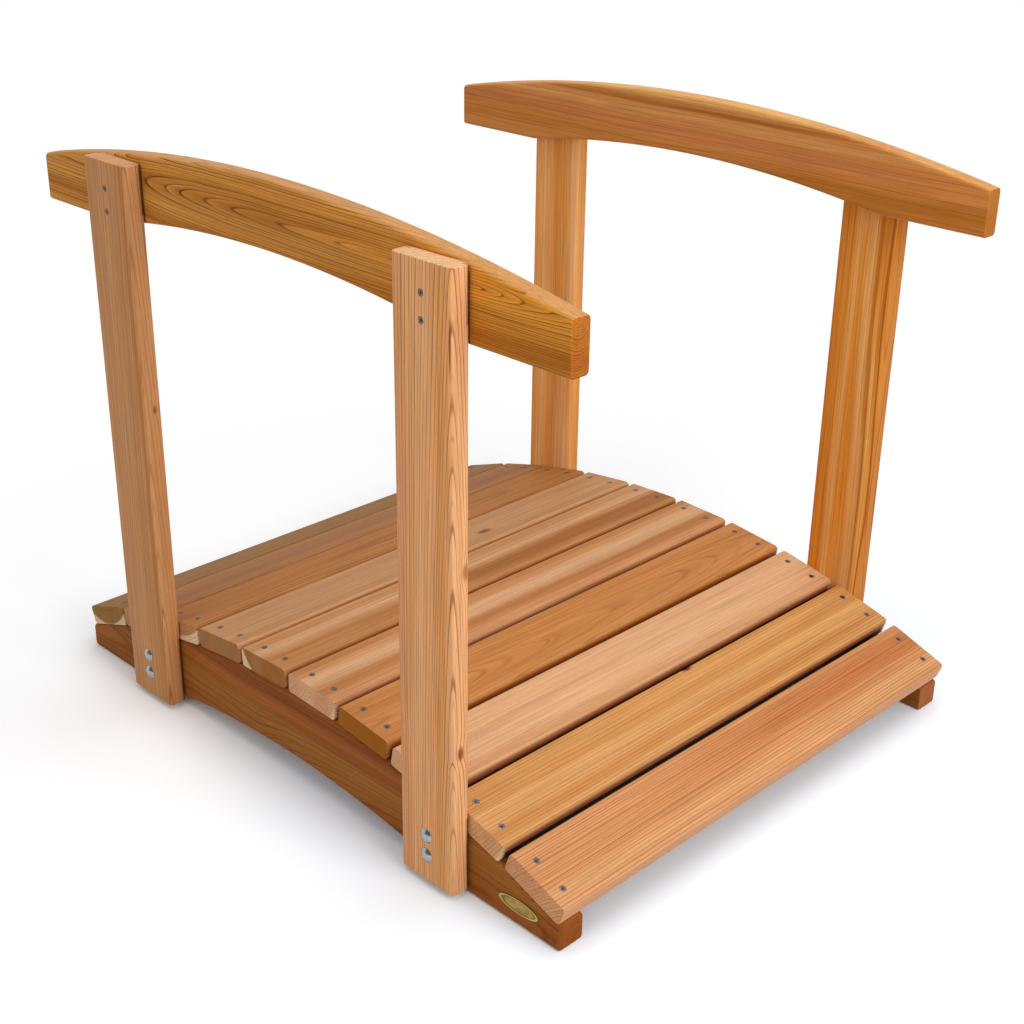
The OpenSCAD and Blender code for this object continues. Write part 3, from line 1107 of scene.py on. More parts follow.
@dataclass
class Fasteners:
    """Countersunk wood screws and carriage bolts, and the holes they need.

    head_over and bore_over are how far a cutter stands out of the wood, and recess_over the size and the
    height of a recess's cutter above the head. thread is the pitch, and the depth of a groove and the
    ends of a crest are shares of it. tail_tip is the inset and height of the tail's chamfer.
    """

    head_d: float = 8.5
    head_sink: float = 0.6
    head_clear: float = 0.15
    head_over: float = 1.0
    tip_d: float = 0.4
    recess_span: float = 4.4
    recess_arm: float = 1.1
    recess_depth: float = 2.0
    recess_taper: float = 0.45
    recess_over: Point2 = (1.1, 0.3)
    bolt_d: float = 8.0
    bolt_clear: float = 0.25
    bore_over: float = 4.0
    dome_d: float = 18.5
    dome_h: float = 4.5
    dome_rim: float = 0.7
    dome_inset: float = 0.25
    dome_steps: int = 14
    washer_d: float = 19.2
    washer_t: float = 1.6
    washer_ease: float = 0.3
    washer_bevel: float = 0.09
    nut_d: float = 14.64
    nut_t: float = 6.56
    nut_slope: float = 30.0
    nut_wear: float = 0.15
    tail: float = 3.2
    tail_lap: float = 0.5
    tail_tip: Point2 = (0.4, 0.25)
    tail_plain: float = 0.3
    thread: float = 1.25
    thread_depth: float = 0.6
    thread_crest: Point2 = (0.4, 0.6)
    hole_segments: int = 32
    screw_segments: int = 48
    bolt_segments: int = 64
    tail_segments: int = 40
    finish: ZincFinish = field(default_factory=ZincFinish)
    screw_finish: ZincFinish = ZincFinish("dulled_zinc_plated_steel", "#8a8682", "#3c3936",
                                          (0.25, 0.4), 0.75)

    # Worn edge of a screw's head: inset and height of each point
    HEAD_EDGE = ((0.15, -0.32), (0.0, -0.2), (0.0, -0.08), (0.12, 0.0))
    # Worn edge of a bolt's dome: inset of each point, and its height from the rim and from the wood
    DOME_EDGE = ((0.08, -0.12), (0.0, -0.3))
    DOME_FOOT = ((0.0, 0.12), (0.12, 0.0))
    # How far the form that chamfers a nut stands clear of its corners and of its faces
    NUT_CLEAR = 0.2
    NUT_SKIN = 0.01

    def sink(self, places: Sequence[Matrix]) -> bpy.types.Object:
        """Make the cutter of several countersinks.

        Args:
            places: Where each one starts, with Z out of the surface, in metres.

        Returns:
            The cutter.
        """
        half = self.head_d / 2
        profile = [(0.0, -half - self.head_sink), (self.tip_d / 2, -half - self.head_sink),
                   (half, -self.head_sink), (half, self.head_over), (0.0, self.head_over)]
        return Shape.copies("countersinks", Shape.lathe("countersink", profile, self.hole_segments), places)

    def bore(self, places: Sequence[Matrix], depth: float) -> bpy.types.Object:
        """Make the cutter of several bolt holes.

        Args:
            places: Middle of each hole, with Z along it, in metres.
            depth: Length of the hole in millimetres.

        Returns:
            The cutter, which stands out at both ends.
        """
        radius = self.bolt_d / 2 + self.bolt_clear
        half = (depth + self.bore_over) / 2
        profile = [(0.0, -half), (radius, -half), (radius, half), (0.0, half)]
        return Shape.copies("bores", Shape.lathe("bore", profile, self.hole_segments), places)

    def seated(self, place: Matrix, spots: Sequence[Matrix], turns: Sequence[float]) -> list[Matrix]:
        """Set a screw in each countersink of a board.

        Args:
            place: The board's place.
            spots: The countersinks in the board's own frame.
            turns: How far round each screw was driven, in radians.

        Returns:
            The place of each screw.
        """
        drop = Matrix.Translation((0.0, 0.0, -self.head_sink * MM))
        return [place @ spot @ drop @ Matrix.Rotation(turn, 4, "Z") for spot, turn in zip(spots, turns)]

    def screw(self) -> bpy.types.Object:
        """Make one countersunk screw head with its cross recess, its top at Z = 0.

        Returns:
            The screw.
        """
        half = self.head_d / 2 - self.head_clear
        profile = [(0.0, -half), (self.tip_d / 2, -half)]
        profile += [(half - inset, height) for inset, height in self.HEAD_EDGE]
        profile.append((0.0, 0.0))
        head = Shape.lathe("screw", profile, self.screw_segments)
        for turn in (0.0, math.pi / 2):
            Shape.combine(head, self._wedge(turn))
        return head

    def _wedge(self, turn: float) -> bpy.types.Object:
        """Make one bar of the cross recess.

        Args:
            turn: Its angle about the screw.

        Returns:
            The cutter.
        """
        sections = []
        for size, height in ((self.recess_taper, -self.recess_depth), (1.0, 0.0), self.recess_over):
            half_l = self.recess_span / 2 * size
            half_w = self.recess_arm / 2 * (1.0 + size) / 2
            corners = ((half_l, half_w), (-half_l, half_w), (-half_l, -half_w), (half_l, -half_w))
            spin = Matrix.Rotation(turn, 3, "Z")
            sections.append([tuple(spin @ Vector((x, y, height))) for x, y in corners])
        return Shape.loft("recess", sections)

    def bolt(self, grip: float) -> bpy.types.Object:
        """Make a carriage bolt with its head, washer, nut and threaded tail along Z.

        Args:
            grip: Thickness of wood that it holds, below Z = 0, in millimetres.

        Returns:
            The bolt.
        """
        radius = self.dome_d / 2
        cap = self.dome_h - self.dome_rim
        dome_r = Shape.arc_radius(radius - self.dome_inset, cap)
        profile = [(0.0, self.dome_h)]
        for step in range(1, self.dome_steps + 1):
            angle = math.asin((radius - self.dome_inset) / dome_r) * step / self.dome_steps
            profile.append((dome_r * math.sin(angle), self.dome_h - dome_r * (1.0 - math.cos(angle))))
        profile += [(radius - inset, self.dome_rim + height) for inset, height in self.DOME_EDGE]
        profile += [(radius - inset, height) for inset, height in self.DOME_FOOT]
        profile += [(self.bolt_d / 2, 0.0), (self.bolt_d / 2, -grip), (0.0, -grip)]
        head = Shape.lathe("bolt_head", profile, self.bolt_segments)
        return Shape.join("bolt", (head, self._washer(grip), self._nut(grip), self._tail(grip)))

    def _washer(self, grip: float) -> bpy.types.Object:
        """Make the washer under the nut.

        Args:
            grip: Thickness of wood that the bolt holds.

        Returns:
            The washer.
        """
        top = -grip
        low = -grip - self.washer_t
        outer = self.washer_d / 2
        ease = self.washer_ease
        bevel = self.washer_bevel
        profile = [(0.0, top), (outer - ease, top), (outer - bevel, top - bevel), (outer, top - ease),
                   (outer, low + ease), (outer - bevel, low + bevel), (outer - ease, low), (0.0, low)]
        return Shape.lathe("washer", profile, self.bolt_segments)

    def _nut(self, grip: float) -> bpy.types.Object:
        """Make the hexagon nut with its corners chamfered on both faces.

        Args:
            grip: Thickness of wood that the bolt holds.

        Returns:
            The nut.
        """
        top = -grip - self.washer_t
        low = top - self.nut_t
        corner = self.nut_d / 2
        flat = corner * math.cos(math.pi / 6)
        sections = []
        for height in (low, top):
            turns = [math.pi / 3 * k for k in range(6)]
            sections.append([(corner * math.cos(a), corner * math.sin(a), height) for a in turns])
        nut = Shape.loft("nut", sections)
        fall = (corner - flat) * math.tan(math.radians(self.nut_slope)) + self.nut_wear
        inner = flat - self.NUT_CLEAR
        outer = corner + self.NUT_CLEAR
        profile = [(0.0, low - self.NUT_SKIN), (inner, low - self.NUT_SKIN), (outer, low + fall),
                   (outer, top - fall), (inner, top + self.NUT_SKIN), (0.0, top + self.NUT_SKIN)]
        Shape.combine(nut, Shape.lathe("chamfer", profile, self.bolt_segments), "INTERSECT")
        return nut

    def _tail(self, grip: float) -> bpy.types.Object:
        """Make the threaded tail beyond the nut; its grooves are level rings.

        Args:
            grip: Thickness of wood that the bolt holds.

        Returns:
            The tail.
        """
        top = -grip - self.washer_t - self.nut_t + self.tail_lap
        low = -grip - self.washer_t - self.nut_t - self.tail
        crest = self.bolt_d / 2
        root = crest - self.thread_depth * self.thread
        inset, rise = self.tail_tip
        profile = [(0.0, top), (root, top)]
        height = top
        while height - self.thread > low + self.tail_plain:
            profile += [(crest, height - share * self.thread) for share in self.thread_crest]
            profile.append((root, height - self.thread))
            height -= self.thread
        profile += [(root, low + rise), (root - inset, low), (0.0, low)]
        return Shape.lathe("tail", profile, self.tail_segments)


@dataclass
class BowedBoards:
    """A pair of boards on edge along the span, with a bowed top and an arched underside.

    face_y is how far out the outer faces are, and mid_z the height that is 0 in a board's own frame.
    """

    name: str
    slot: Slot
    length: float
    thick: float
    low_z: float
    end_h: float
    bow: float
    arch_l: float
    arch_rise: float
    mid_z: float
    tones: dict[Side, Cedar]
    grains: dict[Side, Grain]
    edge: float = 5.0
    ease: float = 1.0
    face_y: float = 375.0
    step: float = 15.0
    bolt_x: float = 280.0
    bolt_z: tuple[float, ...] = ()

    # No section comes nearer than this to an end or to where the arch springs
    SECTION_CLEAR = 2.0

    def top(self, x: float) -> float:
        """Give the height of the bowed top at a place along the span."""
        radius = Shape.arc_radius(self.length / 2, self.bow)
        return self.low_z + self.end_h + self.bow - radius + math.sqrt(radius ** 2 - x ** 2)

    def bottom(self, x: float) -> float:
        """Give the height of the arched underside at a place along the span.

        Args:
            x: The place, from the middle, in millimetres.

        Returns:
            The height in the bridge in millimetres.
        """
        if abs(x) >= self.arch_l / 2:
            return self.low_z
        radius = Shape.arc_radius(self.arch_l / 2, self.arch_rise)
        return self.low_z + self.arch_rise - radius + math.sqrt(radius ** 2 - x ** 2)

    def build(self, fasteners: Fasteners) -> None:
        """Build and dress both boards.

        Args:
            fasteners: Gives the bolts' holes.
        """
        for side in Side:
            name = f"{self.name}_{side.word}"
            piece = self._board(f"{name}_board")
            if self.bolt_z:
                holes = [Matrix.Translation(Vector((end.value * self.bolt_x, z - self.mid_z, 0.0)) * MM)
                         for end in End for z in self.bolt_z]
                Shape.combine(piece, fasteners.bore(holes, self.thick))
            middle = side.value * (self.face_y - self.thick / 2)
            piece.matrix_world = board_place((0.0, middle, self.mid_z), (1, 0, 0), (0, 0, 1))
            # The posts' seams paint shade on the board's outer face
            finish = CedarFinish(f"{name}_oiled_cedar", self.tones[side].value, self.grains[side],
                                 Posts().seams(side, self.thick, self.mid_z))
            place_piece(piece, finish.material(), self.slot, name)

    def _board(self, name: str) -> bpy.types.Object:
        """Build one board along X in its own frame.

        Args:
            name: The piece's name.

        Returns:
            The board without its bolt holes.
        """
        half = self.length / 2
        spring = self.arch_l / 2
        clear = self.SECTION_CLEAR
        count = math.ceil(2 * (half - clear) / self.step)
        stations = [-half + clear + (self.length - 2 * clear) * k / count for k in range(count + 1)]
        stations = [x for x in stations if abs(abs(x) - spring) > clear]
        stations = sorted(stations + [-spring, spring])
        sections = []
        for x, inset in Shape.eased(half, self.ease, stations):
            high = self.top(x) - inset - self.mid_z
            low = self.bottom(x) + inset - self.mid_z
            ring = Shape.outline(high - low, self.thick - 2 * inset, self.edge - inset)
            sections.append([(x, w + (high + low) / 2, t) for w, t in ring])
        return Shape.loft(name, sections)


@dataclass
class Stringers(BowedBoards):
    """The two bowed boards that carry the deck."""

    name: str = "stringer"
    slot: Slot = Slot.STRINGER
    length: float = 928.0
    thick: float = 38.0
    low_z: float = 0.0
    end_h: float = 34.0
    bow: float = 90.0
    arch_l: float = 596.0
    arch_rise: float = 31.0
    mid_z: float = 62.0
    bolt_z: tuple[float, ...] = (43.0, 69.5)
    tones: dict[Side, Cedar] = field(default_factory=lambda: dict.fromkeys(Side, Cedar.RUSSET))
    grains: dict[Side, Grain] = field(default_factory=lambda: {
        Side.LEFT: Grain((-42.0, -6.0), 1.3, ring=3.2, bow=-1.1e-4, crown=352.0, skew=1.6,
                         lean=(-0.03, 0.0), wander=7.0, line=0.75, zone=0.5, drift=0.4, fine=0.6,
                         edge_line=0.4, cut=0.5, sawn="#9a4c1c", flat=0.7, reach=420.0,
                         streaks=(Streak(-8.0, 30.0, "#a87030", 0.5),
                                  Streak(46.0, 18.0, "#7c3a1a", 0.6, ragged=0.5),
                                  Streak(10.0, 40.0, "#7c3c1c", 0.5, until=-300.0, fade=30.0))),
        Side.RIGHT: Grain((-20.0, 120.0), 2.6, ring=4.2, lean=(0.0, -0.02), wander=9.0, line=0.7, fine=0.5,
                          edge_line=0.4, cut=0.5, sawn="#c07a50"),
    })


@dataclass
class Rails(BowedBoards):
    """The two bowed handrails inside the posts."""

    name: str = "rail"
    slot: Slot = Slot.RAIL
    length: float = 914.0
    thick: float = 25.0
    low_z: float = 656.0
    end_h: float = 59.0
    bow: float = 46.0
    arch_l: float = 610.0
    arch_rise: float = 26.0
    mid_z: float = 708.0
    tones: dict[Side, Cedar] = field(default_factory=lambda: {
        Side.LEFT: Cedar.CARAMEL,
        Side.RIGHT: Cedar.GINGER,
    })
    grains: dict[Side, Grain] = field(default_factory=lambda: {
        Side.LEFT: Grain((11.0, 10.5), 3.1, ring=2.1, bow=-0.6e-4, crown=270.0, skew=1.9,
                         lean=(-0.008, 0.0), wander=6.0, wave=200.0, line=1.3, zone=0.7, drift=0.3,
                         fine=0.0, grade=0.5, edge_line=0.4, cut=0.7, sawn="#c06a28", rim="#c89664",
                         edge_light_share=0.75, flat=0.75, reach=520.0,
                         streaks=(Streak(-34.0, 30.0, "#b86608", 0.6, since=-150.0, fade=120.0),
                                  Streak(10.0, 44.0, "#f4a238", 0.8, since=212.0, fade=120.0))),
        Side.RIGHT: Grain((-60.0, 160.0), 4.4, ring=3.4, wander=4.0, line=0.5, zone=0.3, drift=0.2, fine=0.4,
                          edge_line=0.5, cut=0.6, sawn="#b8722e", rim="#e2ae70", edge_light_share=0.4,
                          streaks=(Streak(50.0, 14.0, "#e8b26c", 0.7),
                                   Streak(35.5, 4.5, "#8a4a14", 0.5, since=-230.0, until=240.0, fade=110.0),
                                   Streak(22.0, 11.0, "#e0a468", 0.5),
                                   Streak(2.0, 18.0, "#c2764a", 0.55),
                                   Streak(-16.0, 26.0, "#c07a30", 0.5, until=-180.0, fade=120.0),
                                   Streak(-34.0, 24.0, "#a8640e", 0.6, since=40.0, fade=160.0),
                                   Streak(6.0, 20.0, "#d28a3c", 0.5, since=330.0, fade=90.0))),
    })


@dataclass
class Deck:
    """The planks, each flat and tangent to the stringers' bow.

    gap_run is how much wider the first gap is than the mean and how much narrower the last, as a share of
    it. Each layer of painted shade in the gaps has the height of its top above a plank's middle, how
    softly it ends, its depth and its colour.
    """

    width: float = 750.0
    plank_w: float = 89.0
    plank_t: float = 27.0
    edge: float = 5.0
    ease: float = 0.8
    gap: float = 5.0
    gap_run: float = 0.43
    setback: float = 3.5
    shift: float = 2.0
    span: float = 928.0
    crest_h: float = 124.0
    end_h: float = 34.0
    screw_across: float = 43.0
    screw_y: float = 356.0
    screw_turn: Point2 = (0.7, 1.9)
    # Painted shade in the gaps: a warm brown layer, and a near-black one lower down
    soil: tuple[tuple[float, float, float, str], ...] = ((4.0, 7.0, 0.78, "#a84c06"),
                                                         (-3.0, 6.5, 0.93, "#160802"))
    soil_reach: float = 4.5
    soil_short: float = 9.0
    chipped: int = 2
    chip_at: Point3 = (-36.0, -45.5, 12.0)
    chip_size: Point3 = (6.5, 4.5, 4.0)
    chip_turn: float = 0.5
    chip_steps: int = 6
    chip_segments: int = 9
    tones: tuple[Cedar, ...] = (Cedar.ROSE, Cedar.GOLD, Cedar.BLUSH, Cedar.COPPER, Cedar.TAN,
                                Cedar.CHESTNUT, Cedar.FAWN, Cedar.UMBER, Cedar.DUSK, Cedar.OAT)
    grains: tuple[Grain, ...] = (
        Grain((140.0, -70.0), 0.4, ring=3.5, wander=3.0, wave=420.0, line=1.05, zone=0.35, drift=0.3,
              fine=0.7, edge_line=0.7, cut=0.55, sawn="#dca47c", rim="#eebc98", edge_light_share=0.4,
              streaks=(Streak(-18.0, 36.0, "#bd6a36", 0.6, until=40.0, fade=260.0),
                       Streak(27.0, 14.0, "#e6b47e", 0.4))),
        Grain((-110.0, 60.0), 1.9, ring=4.3, wander=5.0, wave=260.0, line=0.85, zone=0.4, drift=0.35,
              sap=163.0, fine=0.6, cut=0.55, sawn="#dcb084", streaks=(Streak(27.0, 14.0, "#c47a36", 0.4),),
              knots=(Knot(-36.0, -43.0, 5.0, "#2e1a0c"),)),
        Grain((110.0, 90.0), 2.2, ring=4.6, wander=6.0, line=0.45, zone=0.5, drift=0.5, fine=0.4,
              streaks=(Streak(-4.0, 17.0, "#cc8d60", 0.35, since=60.0, fade=160.0),
                       Streak(-22.0, 12.0, "#d08f68", 0.3, since=-250.0, until=-120.0, fade=90.0),
                       Streak(8.0, 24.0, "#eec096", 0.4, ragged=0.4), Streak(38.0, 10.0, "#c78b5a", 0.35))),
        Grain((8.0, -28.0), 3.5, ring=4.4, lean=(0.0, 0.04), wander=6.0, line=0.5, zone=0.5, drift=0.3,
              fine=0.5, cut=0.85, sawn="#9c5c0c"),
        Grain((-90.0, 50.0), 4.8, ring=4.2, line=0.55, zone=0.45, drift=0.3, sap=141.0, cut=0.6,
              sawn="#e8b48c",
              streaks=(Streak(-6.0, 20.0, "#e8bc92", 0.6, ragged=0.3),
                       Streak(18.0, 13.0, "#b06c3e", 0.4, ragged=0.4),
                       Streak(38.0, 9.0, "#e0a276", 0.5), Streak(-36.0, 12.0, "#b87844", 0.4))),
        Grain((40.0, 50.0), 5.7, ring=4.2, line=0.55, zone=0.45, drift=0.3, sap=90.0, cut=0.7,
              sawn="#9a6230",
              streaks=(Streak(20.0, 24.0, "#8c4e20", 0.55, until=150.0, fade=160.0),
                       Streak(-13.0, 17.0, "#deb086", 0.6, ragged=0.3), Streak(-39.0, 8.0, "#dcaa7c", 0.4))),
        Grain((-120.0, 60.0), 6.1, ring=4.0, line=0.5, zone=0.4, drift=0.35, cut=0.7, sawn="#9c683a",
              knots=(Knot(-91.0, 12.0, 6.5, "#7e4c26"),)),
        Grain((0.0, 70.0), 7.4, ring=4.2, line=0.5, zone=0.45, drift=0.3, sap=76.0, cut=0.3),
        Grain((-60.0, 80.0), 8.3, ring=4.0, line=0.5, zone=0.45, drift=0.35),
        Grain((0.0, 60.0), 9.2, ring=3.8, line=0.5, zone=0.4, drift=0.3, sap=71.0, cut=0.3, sawn="#a88450"),
    )

    def build(self, fasteners: Fasteners) -> None:
        """Build and dress the planks and their screws.

        Args:
            fasteners: Gives the screws and their countersinks.
        """
        places = self._places()
        screws = []
        for number, place in enumerate(places, 1):
            spots = [Matrix.Translation(Vector((sl * self.screw_y, sw * self.screw_across / 2,
                                                self.plank_t / 2)) * MM)
                     for sl in (-1, 1) for sw in (-1, 1)]
            name = f"deck_plank_{number:02d}"
            piece = Shape.plank(f"{name}_board", self.width, self.plank_w, self.plank_t, self.edge,
                                self.ease)
            Shape.combine(piece, fasteners.sink(spots))
            if number == self.chipped:
                Shape.combine(piece, self._chip())
            piece.matrix_world = place
            # The plank's long edges get painted shade along the gaps beside it
            finish = CedarFinish(f"{name}_oiled_cedar", self.tones[number - 1].value,
                                 self.grains[number - 1], self._gaps(number, len(places)))
            place_piece(piece, finish.material(), Slot.DECK, name)
            by_plank, by_screw = self.screw_turn
            turns = [by_plank * number + by_screw * k for k in range(len(spots))]
            screws += fasteners.seated(place, spots, turns)
        piece = Shape.copies("deck_screws", fasteners.screw(), screws)
        place_piece(piece, fasteners.screw_finish.material(), Slot.ZINC)

    def _places(self) -> list[Matrix]:
        """Space the planks along the stringers' bow, from the front to the back.

        Returns:
            The place of each plank.
        """
        radius = Shape.arc_radius(self.span / 2, self.crest_h - self.end_h)
        arc = 2 * radius * math.asin(self.span / 2 / radius) - 2 * self.setback
        count = math.floor((arc + self.gap) / (self.plank_w + self.gap))
        pitch = (arc - self.plank_w) / (count - 1)
        step = self.gap_run * (pitch - self.plank_w) / (count - 2)
        reach = radius + self.plank_t / 2
        places = []
        for number in range(1, count + 1):
            along = ((count + 1) / 2 - number) * pitch + self.shift - (number - 1) * (count - number) * step
            angle = along / radius
            centre = (reach * math.sin(angle), 0.0, self.crest_h - radius + reach * math.cos(angle))
            places.append(board_place(centre, (0, -1, 0), (math.cos(angle), 0, -math.sin(angle))))
        return places

    def _gaps(self, number: int, count: int) -> tuple[Soil, ...]:
        """Paint shade on a plank's long edges, down into the gaps beside it.

        Args:
            number: The plank's number from the front.
            count: How many planks there are.

        Returns:
            The painted shade of each gap.
        """
        sides = [turn for turn, last in ((1, 1), (-1, count)) if number != last]
        return tuple(Soil((0.0, turn * (self.plank_w + self.gap) / 2, (top - self.plank_t) / 2),
                          (self.width / 2 - self.soil_short, self.soil_reach, (top + self.plank_t) / 2),
                          soft, depth, colour)
                     for turn in sides for top, soft, depth, colour in self.soil)

    def _chip(self) -> bpy.types.Object:
        """Make the cutter of the small chip where a knot meets a plank's edge.

        Returns:
            The cutter, in the plank's own frame.
        """
        turns = [math.pi * k / self.chip_steps for k in range(self.chip_steps + 1)]
        profile = [(math.sin(a), -math.cos(a)) for a in turns]
        size = Matrix.Diagonal((*self.chip_size, 1.0))
        tilt = Matrix.Rotation(self.chip_turn, 4, "Z")
        place = Matrix.Translation(Vector(self.chip_at) * MM) @ tilt @ size
        return Shape.copies("chip", Shape.lathe("chip_form", profile, self.chip_segments), [place])


@dataclass
class Posts:
    """The four posts that hold the handrails, bolted to the stringers.

    rail_lap and deck_lap are how far down from the top and up from the foot painted shade darkens the inner
    edges.
    The seams are painted shade on the board behind a post, along both of its own edges.
    """

    width: float = 89.0
    thick: float = 25.0
    edge: float = 6.0
    ease: float = 1.2
    top_z: float = 738.0
    right_drop: float = 9.0
    foot_z: float = 8.0
    x: float = 280.0
    face_y: float = 375.0
    bolt_z: tuple[float, ...] = (43.0, 69.5)
    screw_z: tuple[float, ...] = (705.0, 677.0)
    screw_turn: Point2 = (0.4, 1.3)
    grip: float = 63.0
    rail_lap: float = 58.0
    deck_lap: float = 95.0
    crevice_clear: float = 2.0
    crevice_reach: Point2 = (4.0, 3.0)
    crevice_soft: float = 4.0
    crevice_depth: float = 0.75
    seam_below: float = 8.0
    seam_inset: float = 2.5
    seam_half: Point3 = (0.6, 90.0, 3.0)
    seam_soft: float = 1.2
    seam_depth: float = 0.6
    tones: dict[tuple[End, Side], Cedar] = field(default_factory=lambda: {
        (End.FRONT, Side.LEFT): Cedar.HONEY,
        (End.BACK, Side.LEFT): Cedar.SAND,
        (End.FRONT, Side.RIGHT): Cedar.AMBER,
        (End.BACK, Side.RIGHT): Cedar.MAIZE,
    })
    grains: dict[tuple[End, Side], Grain] = field(default_factory=lambda: {
        (End.FRONT, Side.LEFT): Grain((-63.5, 31.5), 0.7, ring=4.0, taper=-1.6e-4, anchor=110.0, wander=2.2,
                                      wave=500.0, line=1.05, zone=0.35, drift=0.3, fine=0.3, cut=0.6,
                                      sawn="#eecaa0", rim="#fac08e", edge_light_share=0.4,
                                      streaks=(Streak(34.0, 15.0, "#d89468", 0.5),
                                               Streak(-26.0, 14.0, "#dc9240", 0.45),
                                               # A thin dark line on the post's edge by the rail's lower
                                               # edge: painted shade
                                               Streak(-41.0, 1.4, "#6f3208", 0.85, since=262.0, until=312.0,
                                                      fade=14.0)),
                                      knots=(Knot(-178.0, 1.5, 4.6, "#94481e", True),
                                             Knot(40.0, -6.0, 5.0, "#c07838", True))),
        (End.BACK, Side.LEFT): Grain((-66.0, 34.0), 1.6, ring=4.4, taper=-1.2e-4, anchor=112.0,
                                     lean=(0.01, 0.0), wander=4.0, line=0.8, zone=0.35, drift=0.3, cut=0.5,
                                     streaks=(Streak(-36.0, 7.0, "#b87028", 0.55),
                                              Streak(20.0, 22.0, "#d29a70", 0.4)),
                                     knots=(Knot(60.0, -2.0, 3.0, "#9a5220", True),)),
        (End.FRONT, Side.RIGHT): Grain((-70.0, 50.0), 2.9, ring=4.6, wander=15.0, line=0.7, drift=0.2,
                                       cut=0.6, edge_line=1.6, rim="#c07c40", edge_light_share=0.5,
                                       streaks=(Streak(-30.0, 14.0, "#cc7c28", 0.4),
                                                Streak(-14.0, 9.0, "#f6c27a", 0.5, 0.012, ragged=0.5),
                                                Streak(15.0, 13.0, "#f8ca84", 0.5, -0.022, ragged=0.6),
                                                Streak(25.0, 5.0, "#a85a10", 0.5, -0.012),
                                                Streak(31.0, 6.0, "#fcc26a", 0.75, -0.012, until=140.0),
                                                Streak(34.0, 2.0, "#8a4410", 0.6, 0.01, since=120.0,
                                                       fade=90.0),
                                                Streak(38.5, 1.6, "#8a4812", 0.7),
                                                Streak(10.0, 26.0, "#e8b070", 0.45, until=-190.0,
                                                       fade=90.0))),
        (End.BACK, Side.RIGHT): Grain((70.0, 40.0), 3.8, ring=4.8, wander=12.0, line=0.55, drift=0.2,
                                      cut=0.6,
                                      streaks=(Streak(-20.0, 8.0, "#f2be84", 0.5),
                                               Streak(6.0, 20.0, "#c47428", 0.35),
                                               Streak(33.0, 9.0, "#f8d2a4", 0.5, 0.02, since=-60.0,
                                                      fade=120.0, ragged=0.4),
                                               Streak(34.0, 8.0, "#f8d6ac", 0.6, until=-150.0, fade=60.0,
                                                      ragged=0.4),
                                               Streak(20.0, 16.0, "#eab288", 0.5, until=-120.0, fade=90.0))),
    })

    def build(self, fasteners: Fasteners) -> None:
        """Build and dress the posts, their bolts and their rail screws.

        Args:
            fasteners: Gives the bolts, the screws and their holes.
        """
        screws = []
        for end in End:
            for side in Side:
                name = f"{end.word}_{side.word}"
                top = self.top(side)
                middle_z = (top + self.foot_z) / 2
                centre = (end.value * self.x, side.value * (self.face_y + self.thick / 2), middle_z)
                place = board_place(centre, (0, 0, 1), (side.value, 0, 0))
                sinks = [Matrix.Translation(Vector((z - middle_z, 0.0, self.thick / 2)) * MM)
                         for z in self.screw_z]
                holes = [Matrix.Translation(Vector((z - middle_z, 0.0, 0.0)) * MM) for z in self.bolt_z]
                piece = Shape.plank(f"post_{name}_board", top - self.foot_z, self.width, self.thick,
                                    self.edge, self.ease)
                Shape.combine(piece, fasteners.sink(sinks))
                Shape.combine(piece, fasteners.bore(holes, self.thick))
                piece.matrix_world = place
                # Painted shade darkens the post's inner edges against the rail and the deck
                finish = CedarFinish(f"post_{name}_oiled_cedar", self.tones[end, side].value,
                                     self.grains[end, side], self._crevices((top - self.foot_z) / 2))
                place_piece(piece, finish.material(), Slot.POST, f"post_{name}")
                first, by_screw = self.screw_turn
                turns = [first + by_screw * k + end.value for k in range(len(sinks))]
                screws += fasteners.seated(place, sinks, turns)
                out = Matrix.Translation((0.0, 0.0, self.thick / 2 * MM))
                bolts = Shape.copies(f"bolts_{name}_zinc", fasteners.bolt(self.grip),
                                     [place @ hole @ out for hole in holes])
                place_piece(bolts, fasteners.finish.material(), Slot.ZINC, f"bolts_{name}")
        piece = Shape.copies("rail_screws", fasteners.screw(), screws)
        place_piece(piece, fasteners.screw_finish.material(), Slot.ZINC)

    def top(self, side: Side) -> float:
        """Give the height of a side's posts."""
        return self.top_z - (self.right_drop if side is Side.RIGHT else 0.0)

    def _crevices(self, half: float) -> tuple[Soil, ...]:
        """Paint shade on the inner edges where the post stands against the rail, and against the deck and
        stringer.

        Args:
            half: Half of the post's length in millimetres.

        Returns:
            The painted shade of each edge.
        """
        spans = ((half - self.rail_lap, half - self.crevice_clear),
                 (-half + self.crevice_clear, -half + self.deck_lap))
        return tuple(Soil(((low + high) / 2, turn * self.width / 2, -self.thick / 2),
                          ((high - low) / 2, *self.crevice_reach), self.crevice_soft, self.crevice_depth)
                     for low, high in spans for turn in (-1, 1))

    def seams(self, side: Side, thick: float, middle: float) -> tuple[Soil, ...]:
        """Paint shade on a stringer or rail along the edges of the posts on its outer face.

        Args:
            side: The side of the bridge.
            thick: The board's thickness in millimetres.
            middle: Height in the bridge that is 0 in the board's own frame.

        Returns:
            The painted shade of each seam.
        """
        height = self.top(side) - middle - self.seam_below - self.seam_half[1]
        spots = [end.value * self.x + turn * (self.width / 2 - self.seam_inset)
                 for end in End for turn in (-1, 1)]
        return tuple(Soil((x, height, -side.value * thick / 2), self.seam_half, self.seam_soft,
                          self.seam_depth) for x in spots)


